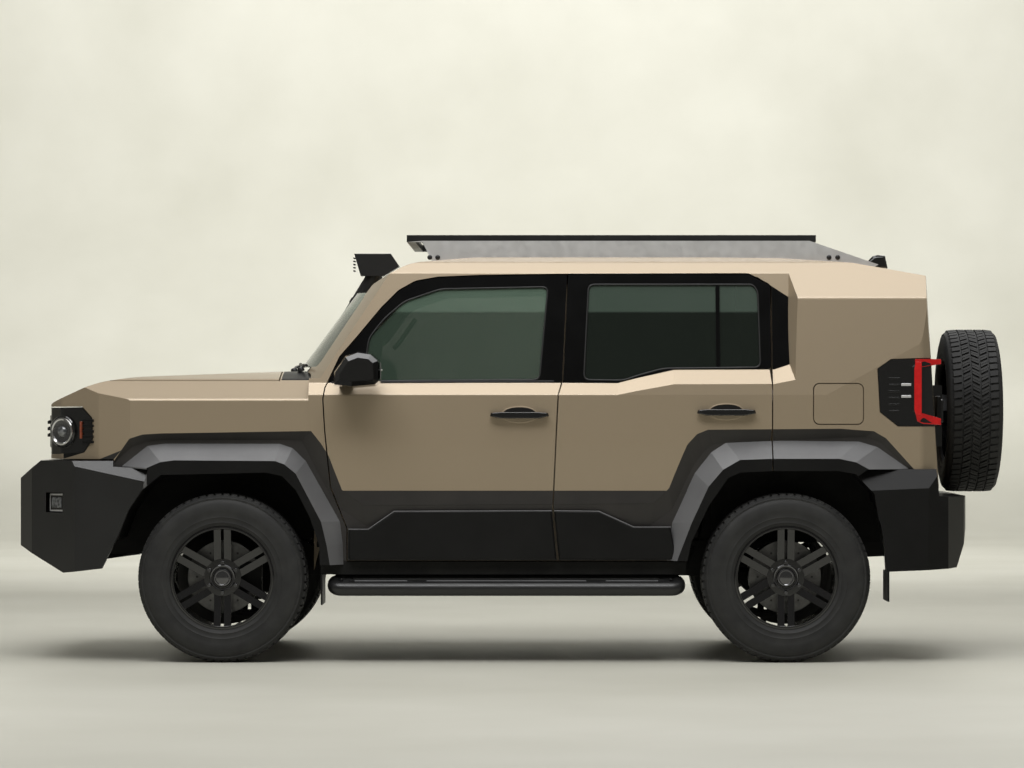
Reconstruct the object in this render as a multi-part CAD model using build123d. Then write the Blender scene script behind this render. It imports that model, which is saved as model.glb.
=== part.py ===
from build123d import *
import os
from math import atan2, cos, degrees, hypot, pi, radians, sin, tan

# A lifted off-road 4x4 with five seats, built as an assembly of separate pieces, in millimetres.
# +X is forward, +Y is the vehicle's left, +Z is up. The origin is on the ground, at the middle of the
# overall length and width. The body is boxy, with flat facets: its walls come from the same few outlines,
# drawn once in side view, in plan and in cross-section, and cut from each other. Every door and lid is as
# thick as the wall that it closes.

# Driving dimensions
WHEELBASE = 2580
FRONT_AXLE_X = 1335
REAR_AXLE_X = FRONT_AXLE_X - WHEELBASE
TYRE_DIAMETER = 775
TYRE_WIDTH = 265
RIM_DIAMETER = 472
BODY_HALF_WIDTH = 890
FLARE_STANDS_OUT = 37.5
WHEEL_INSET = 147.5
HALF_LENGTH = 2303
NOSE_SETBACK = 153
TAIL_SETBACK = 365

AXLE_Z = TYRE_DIAMETER / 2
FLARE_HALF_WIDTH = BODY_HALF_WIDTH + FLARE_STANDS_OUT
WHEEL_Y = FLARE_HALF_WIDTH - WHEEL_INSET
NOSE_X = HALF_LENGTH - NOSE_SETBACK
TAIL_X = -HALF_LENGTH + TAIL_SETBACK

# Heights
SILL_Z = 402
DOOR_BOTTOM_Z = 466
FLOOR_Z = 548
CARGO_FLOOR_Z = 790
TUCK_Z = 785
FENDER_CREASE_Z = 1203
SHOULDER_Z = 1224
BELT_Z = 1279
QUARTER_CREASE_Z = 1671
GLASS_PLANE_TOP_Z = 1786
ROOF_Z = 1871
RACK_Z = 1935

# Half-widths of the body's creases
GLASS_PLANE_TOP_Y = BODY_HALF_WIDTH - 154
BELT_Y = BODY_HALF_WIDTH - 38
ROOF_FLAT_Y = BODY_HALF_WIDTH - 280
HOOD_HALF_WIDTH = BODY_HALF_WIDTH - 155
LAMP_INNER_Y = BODY_HALF_WIDTH - 465
HINGE_Y = BODY_HALF_WIDTH + 2
GATE_HINGE_Y = 790
KING_PIN_Y = WHEEL_Y - 80

# Stations along the length
DOOR_FRONT_X = FRONT_AXLE_X - 464
B_LINE_X = DOOR_FRONT_X - 1063
C_LINE_X = B_LINE_X - 987
COWL_X = DOOR_FRONT_X + 89
POST_X = COWL_X - 20
HOOD_REAR_X = COWL_X + 125
SEAT_STEP_X = REAR_AXLE_X + 330

# Walls and gaps
DOOR_T = 75
PILLAR_T = 45
ROOF_T = 40
SCREEN_T = 40
FIREWALL_T = 30
FENDER_T = 45
HOOD_T = 30
GATE_T = 75
BUMPER_T = 45
SHEET_T = 25
LINER_T = 12
TUCK_DEPTH = 30
PANEL_GAP = 6
LAP = 40
GLASS_T = 5
GLASS_SETBACK = 6
SEAT_GAP = 0.3
DOOR_BEVEL = 0.2
GATE_BEVEL = 0.1

# Limits for cutting tools
FAR = 3000
DEEP = 100
ROUND_SIDES = 36
SMALL_SIDES = 16
BAR_SIDES = 12

GROUND = Plane.XY
ALONG_Y = Plane(origin=(0, 0, 0), x_dir=(1, 0, 0), z_dir=(0, -1, 0))
ALONG_X = Plane(origin=(0, 0, 0), x_dir=(0, 1, 0), z_dir=(1, 0, 0))


# Outlines: each is a closed list of (u, v) or (u, v, corner radius)

def corners(outline):
    return [(p[0], p[1]) for p in outline]


def sharp(outline):
    return [(p[0], p[1], 0) for p in outline]


def radius_of(point):
    return point[2] if len(point) > 2 else 0


def turns_left(outline):
    pts = corners(outline)
    return sum(a[0] * b[1] - b[0] * a[1] for a, b in zip(pts, pts[1:] + pts[:1])) > 0


def inset(outline, depth):
    """The outline with each edge moved inwards. depth is one number, or one for each edge from its point on."""
    pts = corners(outline)
    count = len(pts)
    depths = depth if isinstance(depth, (list, tuple)) else [depth] * count
    side = 1 if turns_left(outline) else -1
    lines = []
    for i in range(count):
        x0, y0 = pts[i]
        x1, y1 = pts[(i + 1) % count]
        length = hypot(x1 - x0, y1 - y0)
        dx = (x1 - x0) / length
        dy = (y1 - y0) / length
        lines.append((x0 - dy * depths[i] * side, y0 + dx * depths[i] * side, dx, dy))
    moved = []
    for i in range(count):
        ax, ay, adx, ady = lines[i - 1]
        bx, by, bdx, bdy = lines[i]
        cross = adx * bdy - ady * bdx
        if abs(cross) < 1e-9:
            t = (pts[i][0] - ax) * adx + (pts[i][1] - ay) * ady
        else:
            t = ((bx - ax) * bdy - (by - ay) * bdx) / cross
        radius = radius_of(outline[i])
        change = (depths[i] + depths[i - 1]) / 2 * (1 if cross * side > 0 else -1)
        moved.append((ax + adx * t, ay + ady * t, max(radius - change, 0) if radius else 0))
    return moved


def outline_face(outline, plane):
    """A flat face from an outline. A corner radius that its edges have no room for is made smaller."""
    pts = corners(outline)
    count = len(pts)
    rounds = []
    for i in range(count):
        ax, ay = pts[i - 1]
        bx, by = pts[i]
        cx, cy = pts[(i + 1) % count]
        cross = (bx - ax) * (cy - by) - (by - ay) * (cx - bx)
        turn = atan2(cross, (bx - ax) * (cx - bx) + (by - ay) * (cy - by))
        room = 0.45 * min(hypot(bx - ax, by - ay), hypot(cx - bx, cy - by)) / max(tan(abs(turn) / 2), 1e-6)
        rounds.append(min(radius_of(outline[i]), room) if abs(turn) > 0.01 else 0)
    face = make_face(Polyline(*pts, close=True))
    for i in range(count):
        if rounds[i] > 1:
            spot = [v for v in face.vertices() if hypot(v.X - pts[i][0], v.Y - pts[i][1]) < 0.01]
            face = fillet(spot, rounds[i])
    return plane * face


def both_halves(half):
    """A closed outline from one half, drawn from the centre line outwards as (across, along) points."""
    return half + [(-p[0], *p[1:]) for p in reversed(half) if p[0] != 0]


def shifted(outline, dx, dz=0):
    return [(p[0] + dx, p[1] + dz, *p[2:]) for p in outline]


def polygon(radius, sides, u=0.0, v=0.0):
    """A regular outline around a circle of the given radius, with a flat side at the bottom."""
    reach = radius / cos(pi / sides)
    return [
        (u + reach * cos(2 * pi * (i + 0.5) / sides), v + reach * sin(2 * pi * (i + 0.5) / sides))
        for i in range(sides)
    ]


# Solids

def prism_y(outline, y0, y1):
    """An outline of (x, z) points, extruded from y0 to y1."""
    face = outline_face(outline, ALONG_Y)
    return Pos(0, y0, 0) * extrude(face, amount=y1 - y0, dir=(0, 1, 0))


def prism_x(outline, x0, x1):
    """An outline of (y, z) points, extruded from x0 to x1."""
    face = outline_face(outline, ALONG_X)
    return Pos(x0, 0, 0) * extrude(face, amount=x1 - x0, dir=(1, 0, 0))


def prism_z(outline, z0, z1):
    """An outline of (x, y) points, extruded from z0 to z1."""
    face = outline_face(outline, GROUND)
    return Pos(0, 0, z0) * extrude(face, amount=z1 - z0, dir=(0, 0, 1))


def loft_y(stages):
    """A flat-sided body through (x, z) outlines with the same number of corners: (outline, y) pairs."""
    faces = [(Pos(0, y, 0) * outline_face(corners(outline), ALONG_Y)).face() for outline, y in stages]
    return loft(faces, ruled=True)


def loft_x(stages):
    """A flat-sided body through (y, z) outlines with the same number of corners: (outline, x) pairs."""
    faces = [(Pos(x, 0, 0) * outline_face(corners(outline), ALONG_X)).face() for outline, x in stages]
    return loft(faces, ruled=True)


def slab(x0, x1, y0, y1, z0, z1):
    return Pos((x0 + x1) / 2, (y0 + y1) / 2, (z0 + z1) / 2) * Box(abs(x1 - x0), abs(y1 - y0), abs(z1 - z0))


def mirrored(shape):
    return mirror(shape, about=Plane.XZ)


def both_sides(shape):
    return shape + mirrored(shape)


def rod(start, end, radius, sides=BAR_SIDES):
    """A bar from one point to another."""
    a = Vector(*start)
    b = Vector(*end)
    section = Plane(origin=a, z_dir=b - a) * make_face(Polyline(*polygon(radius, sides), close=True))
    return extrude(section, amount=(b - a).length)


def axle_disc(x, y0, y1, z, radius, sides=SMALL_SIDES):
    """A disc or shaft about an axis along Y."""
    return prism_y(polygon(radius, sides, x, z), min(y0, y1), max(y0, y1))


def bowed_front(x, z, slope, radius, length=FAR):
    """A bar whose front passes through (x, 0, z), leaning back by slope degrees: it bows a screen."""
    return Pos(x, 0, z) * Rot(0, -slope, 0) * Pos(-radius, 0, 0) * Cylinder(radius, 2 * length)


# The body's outlines

# Side view of the cabin: x, z, corner radius, and the wall behind the edge from here to the next point
CABIN_SIDE = [
    (COWL_X, 1332, 0, SCREEN_T),
    (COWL_X - 301, 1738, 60, ROOF_T),
    (COWL_X - 480, ROOF_Z - 35, 260, ROOF_T),
    (COWL_X - 810, ROOF_Z - 5, 1800, ROOF_T),
    (COWL_X - 1360, ROOF_Z, 0, ROOF_T),
    (TAIL_X + 703, ROOF_Z - 12, 0, ROOF_T),
    (TAIL_X + 378, ROOF_Z - 35, 0, ROOF_T),
    (TAIL_X + 12, 1768, 30, GATE_T),
    (TAIL_X - 30, 1180, 0, GATE_T),
    (TAIL_X - 38, SILL_Z - DEEP, 0, -DEEP),
    (POST_X, SILL_Z - DEEP, 0, FIREWALL_T),
    (POST_X, 1318, 0, FIREWALL_T),
]
# The cross-section's lower side: y, z, corner radius, wall
LOWER_SIDE = [
    (BODY_HALF_WIDTH, SHOULDER_Z, 14, DOOR_T),
    (BODY_HALF_WIDTH - 4, 1000, 900, DOOR_T),
    (BODY_HALF_WIDTH - 14, TUCK_Z, 0, DOOR_T),
    (BODY_HALF_WIDTH - 24, SILL_Z - DEEP, 0, -DEEP),
]
ROOF_CORNER = (ROOF_FLAT_Y + 80, ROOF_Z - 33, 60, ROOF_T)
ROOF_SIDE = [(0, ROOF_Z + 10, 0, ROOF_T), (ROOF_FLAT_Y, ROOF_Z - 5, 160, DOOR_T), ROOF_CORNER]
# Through the side windows, and through the rear quarter, which stands proud of them
GLASS_SECTION = ROOF_SIDE + [
    (GLASS_PLANE_TOP_Y, GLASS_PLANE_TOP_Z, 12, DOOR_T),
    (BELT_Y, BELT_Z, 20, DOOR_T),
] + LOWER_SIDE
QUARTER_SECTION = ROOF_SIDE + [(BODY_HALF_WIDTH - 52, QUARTER_CREASE_Z, 30, DOOR_T)] + LOWER_SIDE
# Half plan of the painted body: y, x, corner radius
PLAN_HALF = [
    (0, NOSE_X + 10),
    (BODY_HALF_WIDTH - 270, NOSE_X, 60),
    (BODY_HALF_WIDTH - 175, NOSE_X - 60, 60),
    (BODY_HALF_WIDTH - 52, NOSE_X - 245, 40),
    (BODY_HALF_WIDTH, NOSE_X - 405, 60),
    (BODY_HALF_WIDTH, TAIL_X + 508, 200),
    (BODY_HALF_WIDTH - 28, TAIL_X + 68, 50),
    (BODY_HALF_WIDTH - 104, TAIL_X - 25, 40),
    (0, TAIL_X - 45),
]
SCREEN_BOW = 2600
SCREEN_FRONT_X = COWL_X + 82
SCREEN_FOOT_Z = 1332
SCREEN_LEAN = degrees(atan2(301, 1738 - SCREEN_FOOT_Z))
TAIL_BOW = 6500
TAIL_LEAN = 3.5
TAIL_MIDDLE_Z = 1180


def walls(outline, extra):
    """The wall column, with extra added where the wall is a side or an end that doors and lids cut into."""
    return [p[3] + (extra if p[3] in (DOOR_T, GATE_T) else 0) for p in outline]


def bare(outline):
    """An outline without its wall column."""
    return [p[:3] for p in outline]


def full_section(half, extra=None):
    """The closed cross-section, moved in by its walls if extra is a number."""
    if extra is None:
        return both_halves(bare(half))
    # Inside, one chamfer serves for the whole roof corner.
    half = [p for p in half if p is not ROOF_CORNER]
    depth = walls(half, extra)
    # The first point and the last one have one edge on each side, so the mirrored walls shift by one.
    return inset(both_halves(bare(half)), depth + list(reversed(depth[:-1])))


def plan_outline(depth=0):
    half = [(x, y, *rest) for y, x, *rest in PLAN_HALF]
    other = [(x, -y, *rest) for x, y, *rest in reversed(half) if y != 0]
    return inset(half + other, depth) if depth else half + other


def tail_bar(depth):
    """A big bar, of which the inside bows the tail. depth is how far it lies in from the outer surface."""
    bar = Cylinder(TAIL_BOW - depth, 2 * FAR)
    return Pos(TAIL_X - 25 + TAIL_BOW, 0, TAIL_MIDDLE_Z) * Rot(0, TAIL_LEAN, 0) * bar


def screen_bar(depth):
    """The bowed bar that shapes the windscreen, moved in by depth."""
    lean = radians(SCREEN_LEAN)
    bar = bowed_front(SCREEN_FRONT_X, SCREEN_FOOT_Z, SCREEN_LEAN, SCREEN_BOW - depth)
    return Pos(-depth * cos(lean), 0, -depth * sin(lean)) * bar


def cabin_form(section, extra=None):
    """The outside of the cabin, or the space inside its walls if extra says how much deeper than a door to go."""
    inside = extra is not None
    side = inset(CABIN_SIDE, walls(CABIN_SIDE, extra)) if inside else bare(CABIN_SIDE)
    form = prism_y(side, -FAR / 2, FAR / 2) & prism_x(full_section(section, extra), -FAR, FAR)
    plan_depth = DOOR_T + extra if inside else 0
    form = form & prism_z(plan_outline(plan_depth), SILL_Z - 2 * DEEP, ROOF_Z + DEEP)
    below_screen = slab(-FAR, POST_X + 1, -FAR, FAR, 0, 1300)
    form = form & (screen_bar(SCREEN_T if inside else 0) + below_screen)
    return form & tail_bar(GATE_T + extra if inside else 0)


def glass_y(z, section=None):
    """Half-width of the outer surface at a height."""
    section = section or GLASS_SECTION
    for (y0, z0, *_), (y1, z1, *_) in zip(section, section[1:]):
        if z1 <= z <= z0:
            return y0 + (y1 - y0) * (z0 - z) / (z0 - z1)
    return section[-1][0]


# Recess for the side windows: the quarter panel stands proud behind and below it
RECESS_SLOPE_X = 0.5
RECESS_SLOPE_Z = 1.45
RECESS_REAR_X = C_LINE_X - 84
# x and z where the recess meets the window plane, and whether the edge is bevelled there
RECESS = [
    (COWL_X + 400, 1150, 0, 0),
    (COWL_X + 400, ROOF_Z + 200, 0, 0),
    (RECESS_REAR_X - 40, ROOF_Z + 200, 1, 0),
    (RECESS_REAR_X, 1700, 1, 0),
    (RECESS_REAR_X, 1365, 1, 1),
    (RECESS_REAR_X + 70, 1342, 0, 1),
    (RECESS_REAR_X + 530, 1340, 0, 1),
    (RECESS_REAR_X + 700, 1302, 0, 1),
    (RECESS_REAR_X + 790, 1262, 0, 1),
    (RECESS_REAR_X + 900, 1150, 0, 0),
]


def recess_tool():
    def at(y):
        outline = []
        for x, z, bevel_x, bevel_z in RECESS:
            out = y - glass_y(min(z, GLASS_PLANE_TOP_Z))
            outline.append((x - bevel_x * RECESS_SLOPE_X * out, z - bevel_z * RECESS_SLOPE_Z * out))
        return outline
    inner = BODY_HALF_WIDTH - 200
    outer = BODY_HALF_WIDTH + 70
    return both_sides(loft_y([(at(inner), inner), (at(outer), outer)]))


# The lower body is tucked in above the arches and the cladding, with a bevel that faces down.
# x and z of the bevel's outer edge, then of its inner edge
TUCK = [
    ((FRONT_AXLE_X + 532, 928), (FRONT_AXLE_X + 512, 899)),
    ((FRONT_AXLE_X + 427, 1023), (FRONT_AXLE_X + 416, 986)),
    ((FRONT_AXLE_X + 364, 1043), (FRONT_AXLE_X + 357, 1007)),
    ((FRONT_AXLE_X + 280, 1048), (FRONT_AXLE_X + 279, 1018)),
    ((FRONT_AXLE_X - 407, 1059), (FRONT_AXLE_X - 361, 1018)),
    ((FRONT_AXLE_X - 494, 949), (FRONT_AXLE_X - 439, 862)),
    ((FRONT_AXLE_X - 558, 826), (FRONT_AXLE_X - 526, 716)),
    ((FRONT_AXLE_X - 636, 778), (FRONT_AXLE_X - 658, 624)),
    ((REAR_AXLE_X + 600, 789), (REAR_AXLE_X + 623, 624)),
    ((REAR_AXLE_X + 541, 844), (REAR_AXLE_X + 523, 698)),
    ((REAR_AXLE_X + 454, 995), (REAR_AXLE_X + 427, 895)),
    ((REAR_AXLE_X + 408, 1045), (REAR_AXLE_X + 376, 964)),
    ((REAR_AXLE_X + 358, 1065), (REAR_AXLE_X + 330, 1000)),
    ((REAR_AXLE_X - 419, 1071), (REAR_AXLE_X - 364, 1032)),
    ((REAR_AXLE_X - 474, 1043), (REAR_AXLE_X - 437, 1004)),
    ((REAR_AXLE_X - 620, 904), (REAR_AXLE_X - 588, 862)),
]
TUCK_Y = BODY_HALF_WIDTH - 4 - TUCK_DEPTH


def tuck_tool():
    """What is cut from the lower body, on both sides."""
    outer = [p[0] for p in TUCK]
    inner = [p[1] for p in TUCK]
    for line in (outer, inner):
        line.append((-FAR, line[-1][1]))
        line.append((-FAR, 0))
        line.append((FAR, 0))
        line.append((FAR, line[0][1]))
    edge_y = BODY_HALF_WIDTH - 4
    tool = loft_y([(inner, TUCK_Y), (outer, edge_y)]) + prism_y(outer, edge_y, edge_y + DEEP)
    return both_sides(tool)


# Doors: outlines in side view, on the outer surface. Rear edges are bevelled so that they swing clear.
FRONT_DOOR_FRONT = [
    (-109, DOOR_BOTTOM_Z), (-109, 612), (-34, 802), (-8, 1064), (0, 1206), (-8, 1256), (-74, 1398),
    (-154, 1491), (-263, 1624), (-341, 1703, 60), (-418, 1746, 60), (-520, 1764, 60), (-713, 1772),
]
B_LINE = [(-51, 1778), (-28, 1293), (-7, SHOULDER_Z), (1, 1064), (17, 708), (-7, DOOR_BOTTOM_Z)]
C_LINE = [(101, 1780, 40), (0, 1728, 30), (0, 1352), (0, 1343), (0, SHOULDER_Z)]
# Wheel openings and flares, relative to the wheel's centre
FRONT_OPENING = [
    (565, -200), (551, -4), (467, 207), (425, 311), (364, 402), (278, 471), (-203, 482), (-276, 466), (-340, 402),
    (-403, 279), (-446, 151), (-451, 0), (-451, -200),
]
REAR_OPENING = [
    (475, -200), (457, 64), (435, 165), (357, 329), (268, 457), (213, 482), (66, 489), (-239, 489), (-316, 475),
    (-400, 385), (-432, 200), (-445, 0), (-445, -200),
]
FRONT_FLARE_EDGE = [
    (493, 514), (362, 624), (278, 635), (-266, 635), (-330, 614), (-392, 551), (-560, 257), (-570, 151), (-570, 60),
    (-430, 60), (300, 300), (493, 400),
]
FRONT_FLARE_CREASE = [
    (341, 503), (278, 530), (215, 538), (-246, 535), (-288, 519), (-339, 477), (-455, 257), (-480, 151), (-495, 60),
    (-430, 60), (300, 300), (341, 430),
]
REAR_FLARE_EDGE = [
    (560, 78), (546, 252), (434, 495), (357, 595), (291, 640), (64, 650), (-362, 645), (-449, 617), (-611, 501),
    (-384, 492), (-200, 300), (400, 78),
]
REAR_FLARE_CREASE = [
    (501, 78), (434, 252), (357, 418), (291, 495), (213, 540), (64, 545), (-239, 545), (-316, 529), (-384, 492),
    (-370, 480), (-200, 300), (400, 78),
]
# Side windows: x and z, corner radius
FRONT_WINDOW = [
    (-177, 1287, 15), (-205, 1490, 25), (-365, 1655, 40), (-532, 1712, 25), (-1027, 1722, 25), (-988, 1293, 15),
]
REAR_WINDOW = [
    (-127, 1293, 15), (-150, 1733, 15), (-908, 1733, 15), (-930, 1700, 20), (-938, 1350, 15), (-493, 1345, 25),
    (-372, 1312, 25), (-310, 1290, 15),
]
DOOR_INNER_Y = BODY_HALF_WIDTH - 490
SIDE_OUTER_Y = BODY_HALF_WIDTH + 110


def front_door_outline():
    return shifted(FRONT_DOOR_FRONT, DOOR_FRONT_X) + shifted(B_LINE, B_LINE_X)


def rear_door_outline():
    forward = shifted(reversed(B_LINE), B_LINE_X - PANEL_GAP)
    arch = [p for p in reversed(REAR_OPENING) if p[0] >= 60 and p[1] > 70]
    low = (REAR_AXLE_X + 459, DOOR_BOTTOM_Z)
    return forward + shifted(C_LINE, C_LINE_X) + shifted(arch, REAR_AXLE_X, AXLE_Z) + [low]


def door_prism(outline, rear_from):
    """The door's sides as seen from the side, with every corner rear of rear_from bevelled."""
    def at(y):
        moved = []
        for x, z, *_ in outline:
            low_rear = x < C_LINE_X + 1 and z < 1350
            surface = glass_y(z, QUARTER_SECTION if low_rear else GLASS_SECTION)
            bevel = DOOR_BEVEL if x < rear_from else 0
            moved.append((x + bevel * (surface - y), z))
        return moved
    inner = BODY_HALF_WIDTH - 330
    outer = BODY_HALF_WIDTH + 90
    return loft_y([(at(inner), inner), (at(outer), outer)])


def window_pane(outline):
    """A pane just inside the plane of the side windows."""
    across = BELT_Y - GLASS_PLANE_TOP_Y
    up = GLASS_PLANE_TOP_Z - BELT_Z
    length = hypot(across, up)
    low = (BELT_Y + across * 0.2, BELT_Z - up * 0.2)
    high = (GLASS_PLANE_TOP_Y - across * 0.1, GLASS_PLANE_TOP_Z + up * 0.1)
    quad = []
    for depth, ends in ((GLASS_SETBACK, (low, high)), (GLASS_SETBACK + GLASS_T, (high, low))):
        for y, z in ends:
            quad.append((y - up / length * depth, z - across / length * depth))
    xs = [p[0] for p in outline]
    pane = prism_x(quad, min(xs) - 50, max(xs) + 50)
    return pane & prism_y(inset(outline, SEAT_GAP), DOOR_INNER_Y, SIDE_OUTER_Y)


def wheel_well(opening, axle_x, inner_y, grow=0):
    outline = shifted(opening, axle_x, AXLE_Z)
    well = prism_y(inset(outline, -grow) if grow else outline, inner_y, SIDE_OUTER_Y)
    return both_sides(well)


# Front of the body
LAMP_Z = (946, 1162)
NOSE_SIDE = [
    (POST_X, 1336), (HOOD_REAR_X, 1334, 800), (NOSE_X - 403, 1308, 900), (NOSE_X - 235, 1284, 500),
    (NOSE_X - 14, 1190, 30), (NOSE_X + 15, 1166), (NOSE_X + 15, 930), (FRONT_AXLE_X + 497, 930),
    (FRONT_AXLE_X + 497, 560), (POST_X, 560),
]
NOSE_SECTION = [
    (0, 1343), (BODY_HALF_WIDTH - 350, 1334, 900), (BODY_HALF_WIDTH - 165, 1298, 60),
    (BODY_HALF_WIDTH - 3, FENDER_CREASE_Z, 16), (BODY_HALF_WIDTH - 4, 1000, 900),
    (BODY_HALF_WIDTH - 14, TUCK_Z), (BODY_HALF_WIDTH - 24, SILL_Z - DEEP),
]
# Headlamp in side view, from the nose
LAMP_OUTLINE = [
    (-34, 1166), (-162, 1168), (-210, 1118), (-213, 1021), (-171, 960), (60, 946), (60, 1166),
]
# Tail lamp in side view, from the tail
TAIL_LAMP_OUTLINE = [(273, 1343), (212, 1386), (-100, 1396), (-100, 1082), (180, 1082), (262, 1146)]
LAMP_DEPTH = 95
TAIL_LAMP_DEPTH = 45


def nose_form(depth=0):
    side = inset(NOSE_SIDE, depth) if depth else NOSE_SIDE
    section = both_halves(NOSE_SECTION)
    form = prism_y(side, -FAR / 2, FAR / 2) & prism_x(inset(section, depth) if depth else section, 0, FAR)
    return form & prism_z(plan_outline(depth), 0, 2000)


# Tailgate
GATE_OUTLINE = [
    (0, 808), (BODY_HALF_WIDTH - 200, 808, 40), (BODY_HALF_WIDTH - 155, 1190, 60), (BODY_HALF_WIDTH - 250, 1748, 70),
    (0, 1752),
]
GATE_WINDOW = [(0, 1290), (BODY_HALF_WIDTH - 330, 1295, 50), (BODY_HALF_WIDTH - 370, 1675, 50), (0, 1685)]
SCREEN_OUTLINE = [
    (0, 1362), (BODY_HALF_WIDTH - 290, 1356), (BODY_HALF_WIDTH - 200, 1352, 40), (BODY_HALF_WIDTH - 300, 1700, 60),
    (0, 1712),
]
GATE_REACH = 200


def gate_prism(grow, bevel=0):
    """The tailgate's sides, from inside the cabin out to the rear."""
    outline = both_halves(GATE_OUTLINE)
    def at(x):
        moved = []
        for y, z, *_ in inset(outline, -grow) if grow else outline:
            moved.append((y - (bevel * (x - TAIL_X) if y > 0 else 0), z))
        return moved
    rear = TAIL_X - 150
    front = TAIL_X + 250
    return loft_x([(at(rear), rear), (at(front), front)])


# Saving

os.makedirs("parts", exist_ok=True)
SMALLEST_SOLID = 100


def keep(name, shape):
    """Writes a node's solids, and gives them back. Crumbs of a cut are dropped."""
    solids = sorted(shape.solids(), key=lambda s: -s.volume)
    solids = [s for s in solids if s.volume > SMALLEST_SOLID]
    shape = solids[0] if len(solids) == 1 else Compound(solids)
    export_step(shape, f"parts/{name}.step")
    return shape


def keep_pair(name, shape):
    """Writes a left node and its mirror image."""
    keep(f"{name}_left", shape)
    keep(f"{name}_right", mirrored(shape))


# The body's main forms
tuck = tuck_tool()
left = slab(-FAR, FAR, 0, FAR, 0, FAR)
cabin = cabin_form(GLASS_SECTION) + (cabin_form(QUARTER_SECTION) - recess_tool())
cabin = cabin - tuck
door_inside = cabin_form(GLASS_SECTION, 0)
pocket_inside = cabin_form(GLASS_SECTION, PANEL_GAP)
cabin_inside = cabin_form(GLASS_SECTION, PANEL_GAP + PILLAR_T)
nose = nose_form() - tuck
nose_in = nose_form(FENDER_T)
front_outline = front_door_outline()
rear_outline = rear_door_outline()
front_well = wheel_well(FRONT_OPENING, FRONT_AXLE_X, BODY_HALF_WIDTH - 452)
rear_well = wheel_well(REAR_OPENING, REAR_AXLE_X, BODY_HALF_WIDTH - 290)


def make_doors():
    skin = (cabin - door_inside) & left
    for end, outline, window, rear_from, window_x in (
        ("front", front_outline, FRONT_WINDOW, B_LINE_X + 60, DOOR_FRONT_X),
        ("rear", rear_outline, REAR_WINDOW, B_LINE_X - 300, B_LINE_X),
    ):
        placed = shifted(window, window_x)
        door = (skin & door_prism(outline, rear_from)) - prism_y(placed, DOOR_INNER_Y, SIDE_OUTER_Y)
        keep_pair(f"door_{end}", door)
        keep_pair(f"glass_{end}", window_pane(placed))


make_doors()

# Tailgate, with its glass
gate_skin = cabin - door_inside
gate = gate_skin & gate_prism(0, GATE_BEVEL)
gate_window = both_halves(GATE_WINDOW)
gate = gate - prism_x(gate_window, TAIL_X - GATE_REACH, TAIL_X + GATE_REACH)
keep("tailgate", gate)
gate_glass = tail_bar(8) - tail_bar(8 + GLASS_T)
gate_glass = gate_glass & prism_x(inset(gate_window, SEAT_GAP), TAIL_X - GATE_REACH, TAIL_X + GATE_REACH)
keep("tailgate_glass", gate_glass)


# Body shell

def doorways():
    """Pockets that the doors close, and the openings inside their laps."""
    pockets = prism_y(inset(front_outline, -PANEL_GAP), DOOR_INNER_Y, SIDE_OUTER_Y)
    pockets = pockets + prism_y(inset(rear_outline, -PANEL_GAP), DOOR_INNER_Y, SIDE_OUTER_Y)
    pockets = pockets - pocket_inside
    for outline in (front_outline, rear_outline):
        pockets = pockets + prism_y(inset(sharp(outline), LAP), DOOR_INNER_Y, SIDE_OUTER_Y)
    return both_sides(pockets)


def gate_hole():
    opening = inset(sharp(both_halves(GATE_OUTLINE)), LAP)
    return (gate_prism(PANEL_GAP) - pocket_inside) + prism_x(opening, TAIL_X - GATE_REACH, TAIL_X + 300)


FLAP_HINGE_X = REAR_AXLE_X - 127
FLAP_LENGTH = 224
FLAP_Z = (1092, 1274)
FLAP_T = 22
FLAP_Y = BODY_HALF_WIDTH - FLAP_T
FLAP_OUTLINE = [
    (FLAP_HINGE_X, FLAP_Z[0], 25), (FLAP_HINGE_X, FLAP_Z[1], 25), (FLAP_HINGE_X - FLAP_LENGTH, FLAP_Z[1], 25),
    (FLAP_HINGE_X - FLAP_LENGTH, FLAP_Z[0], 25),
]


def hinge_pads():
    """Pads on the pillars: each door or gate bears on them near its hinge line, and swings away from them."""
    inner = BODY_HALF_WIDTH - 190
    outer = BODY_HALF_WIDTH + 10
    pads = slab(DOOR_FRONT_X - 37, DOOR_FRONT_X - 12, inner, outer, 1080, 1160)
    pads = pads + slab(DOOR_FRONT_X - 100, DOOR_FRONT_X - 80, inner, outer, 640, 700)
    pads = pads + slab(B_LINE_X - 35, B_LINE_X - 10, inner, outer, 1080, 1160)
    pads = pads + slab(B_LINE_X - 35, B_LINE_X - 10, inner, outer, 640, 700)
    pads = (pads - pocket_inside) & (Pos(0, -SEAT_GAP, 0) * door_inside)
    edge = BODY_HALF_WIDTH - 162
    on_gate = slab(TAIL_X, TAIL_X + GATE_REACH, -edge, -edge + 22, 1080, 1160)
    on_gate = on_gate + slab(TAIL_X, TAIL_X + GATE_REACH, -edge + 38, -edge + 56, 1560, 1620)
    on_gate = (on_gate - pocket_inside) & (Pos(SEAT_GAP, 0, 0) * door_inside)
    return both_sides(pads) + on_gate


def flap_seat():
    """The filler neck behind the fuel flap and the pad that its hinge bears on."""
    pad = slab(FLAP_HINGE_X - 16, FLAP_HINGE_X - 4, FLAP_Y - PANEL_GAP - 1, FLAP_Y - SEAT_GAP, 1160, 1206)
    return pad + axle_disc(FLAP_HINGE_X - FLAP_LENGTH / 2, FLAP_Y - 65, FLAP_Y - 30, 1180, 45)


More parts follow.
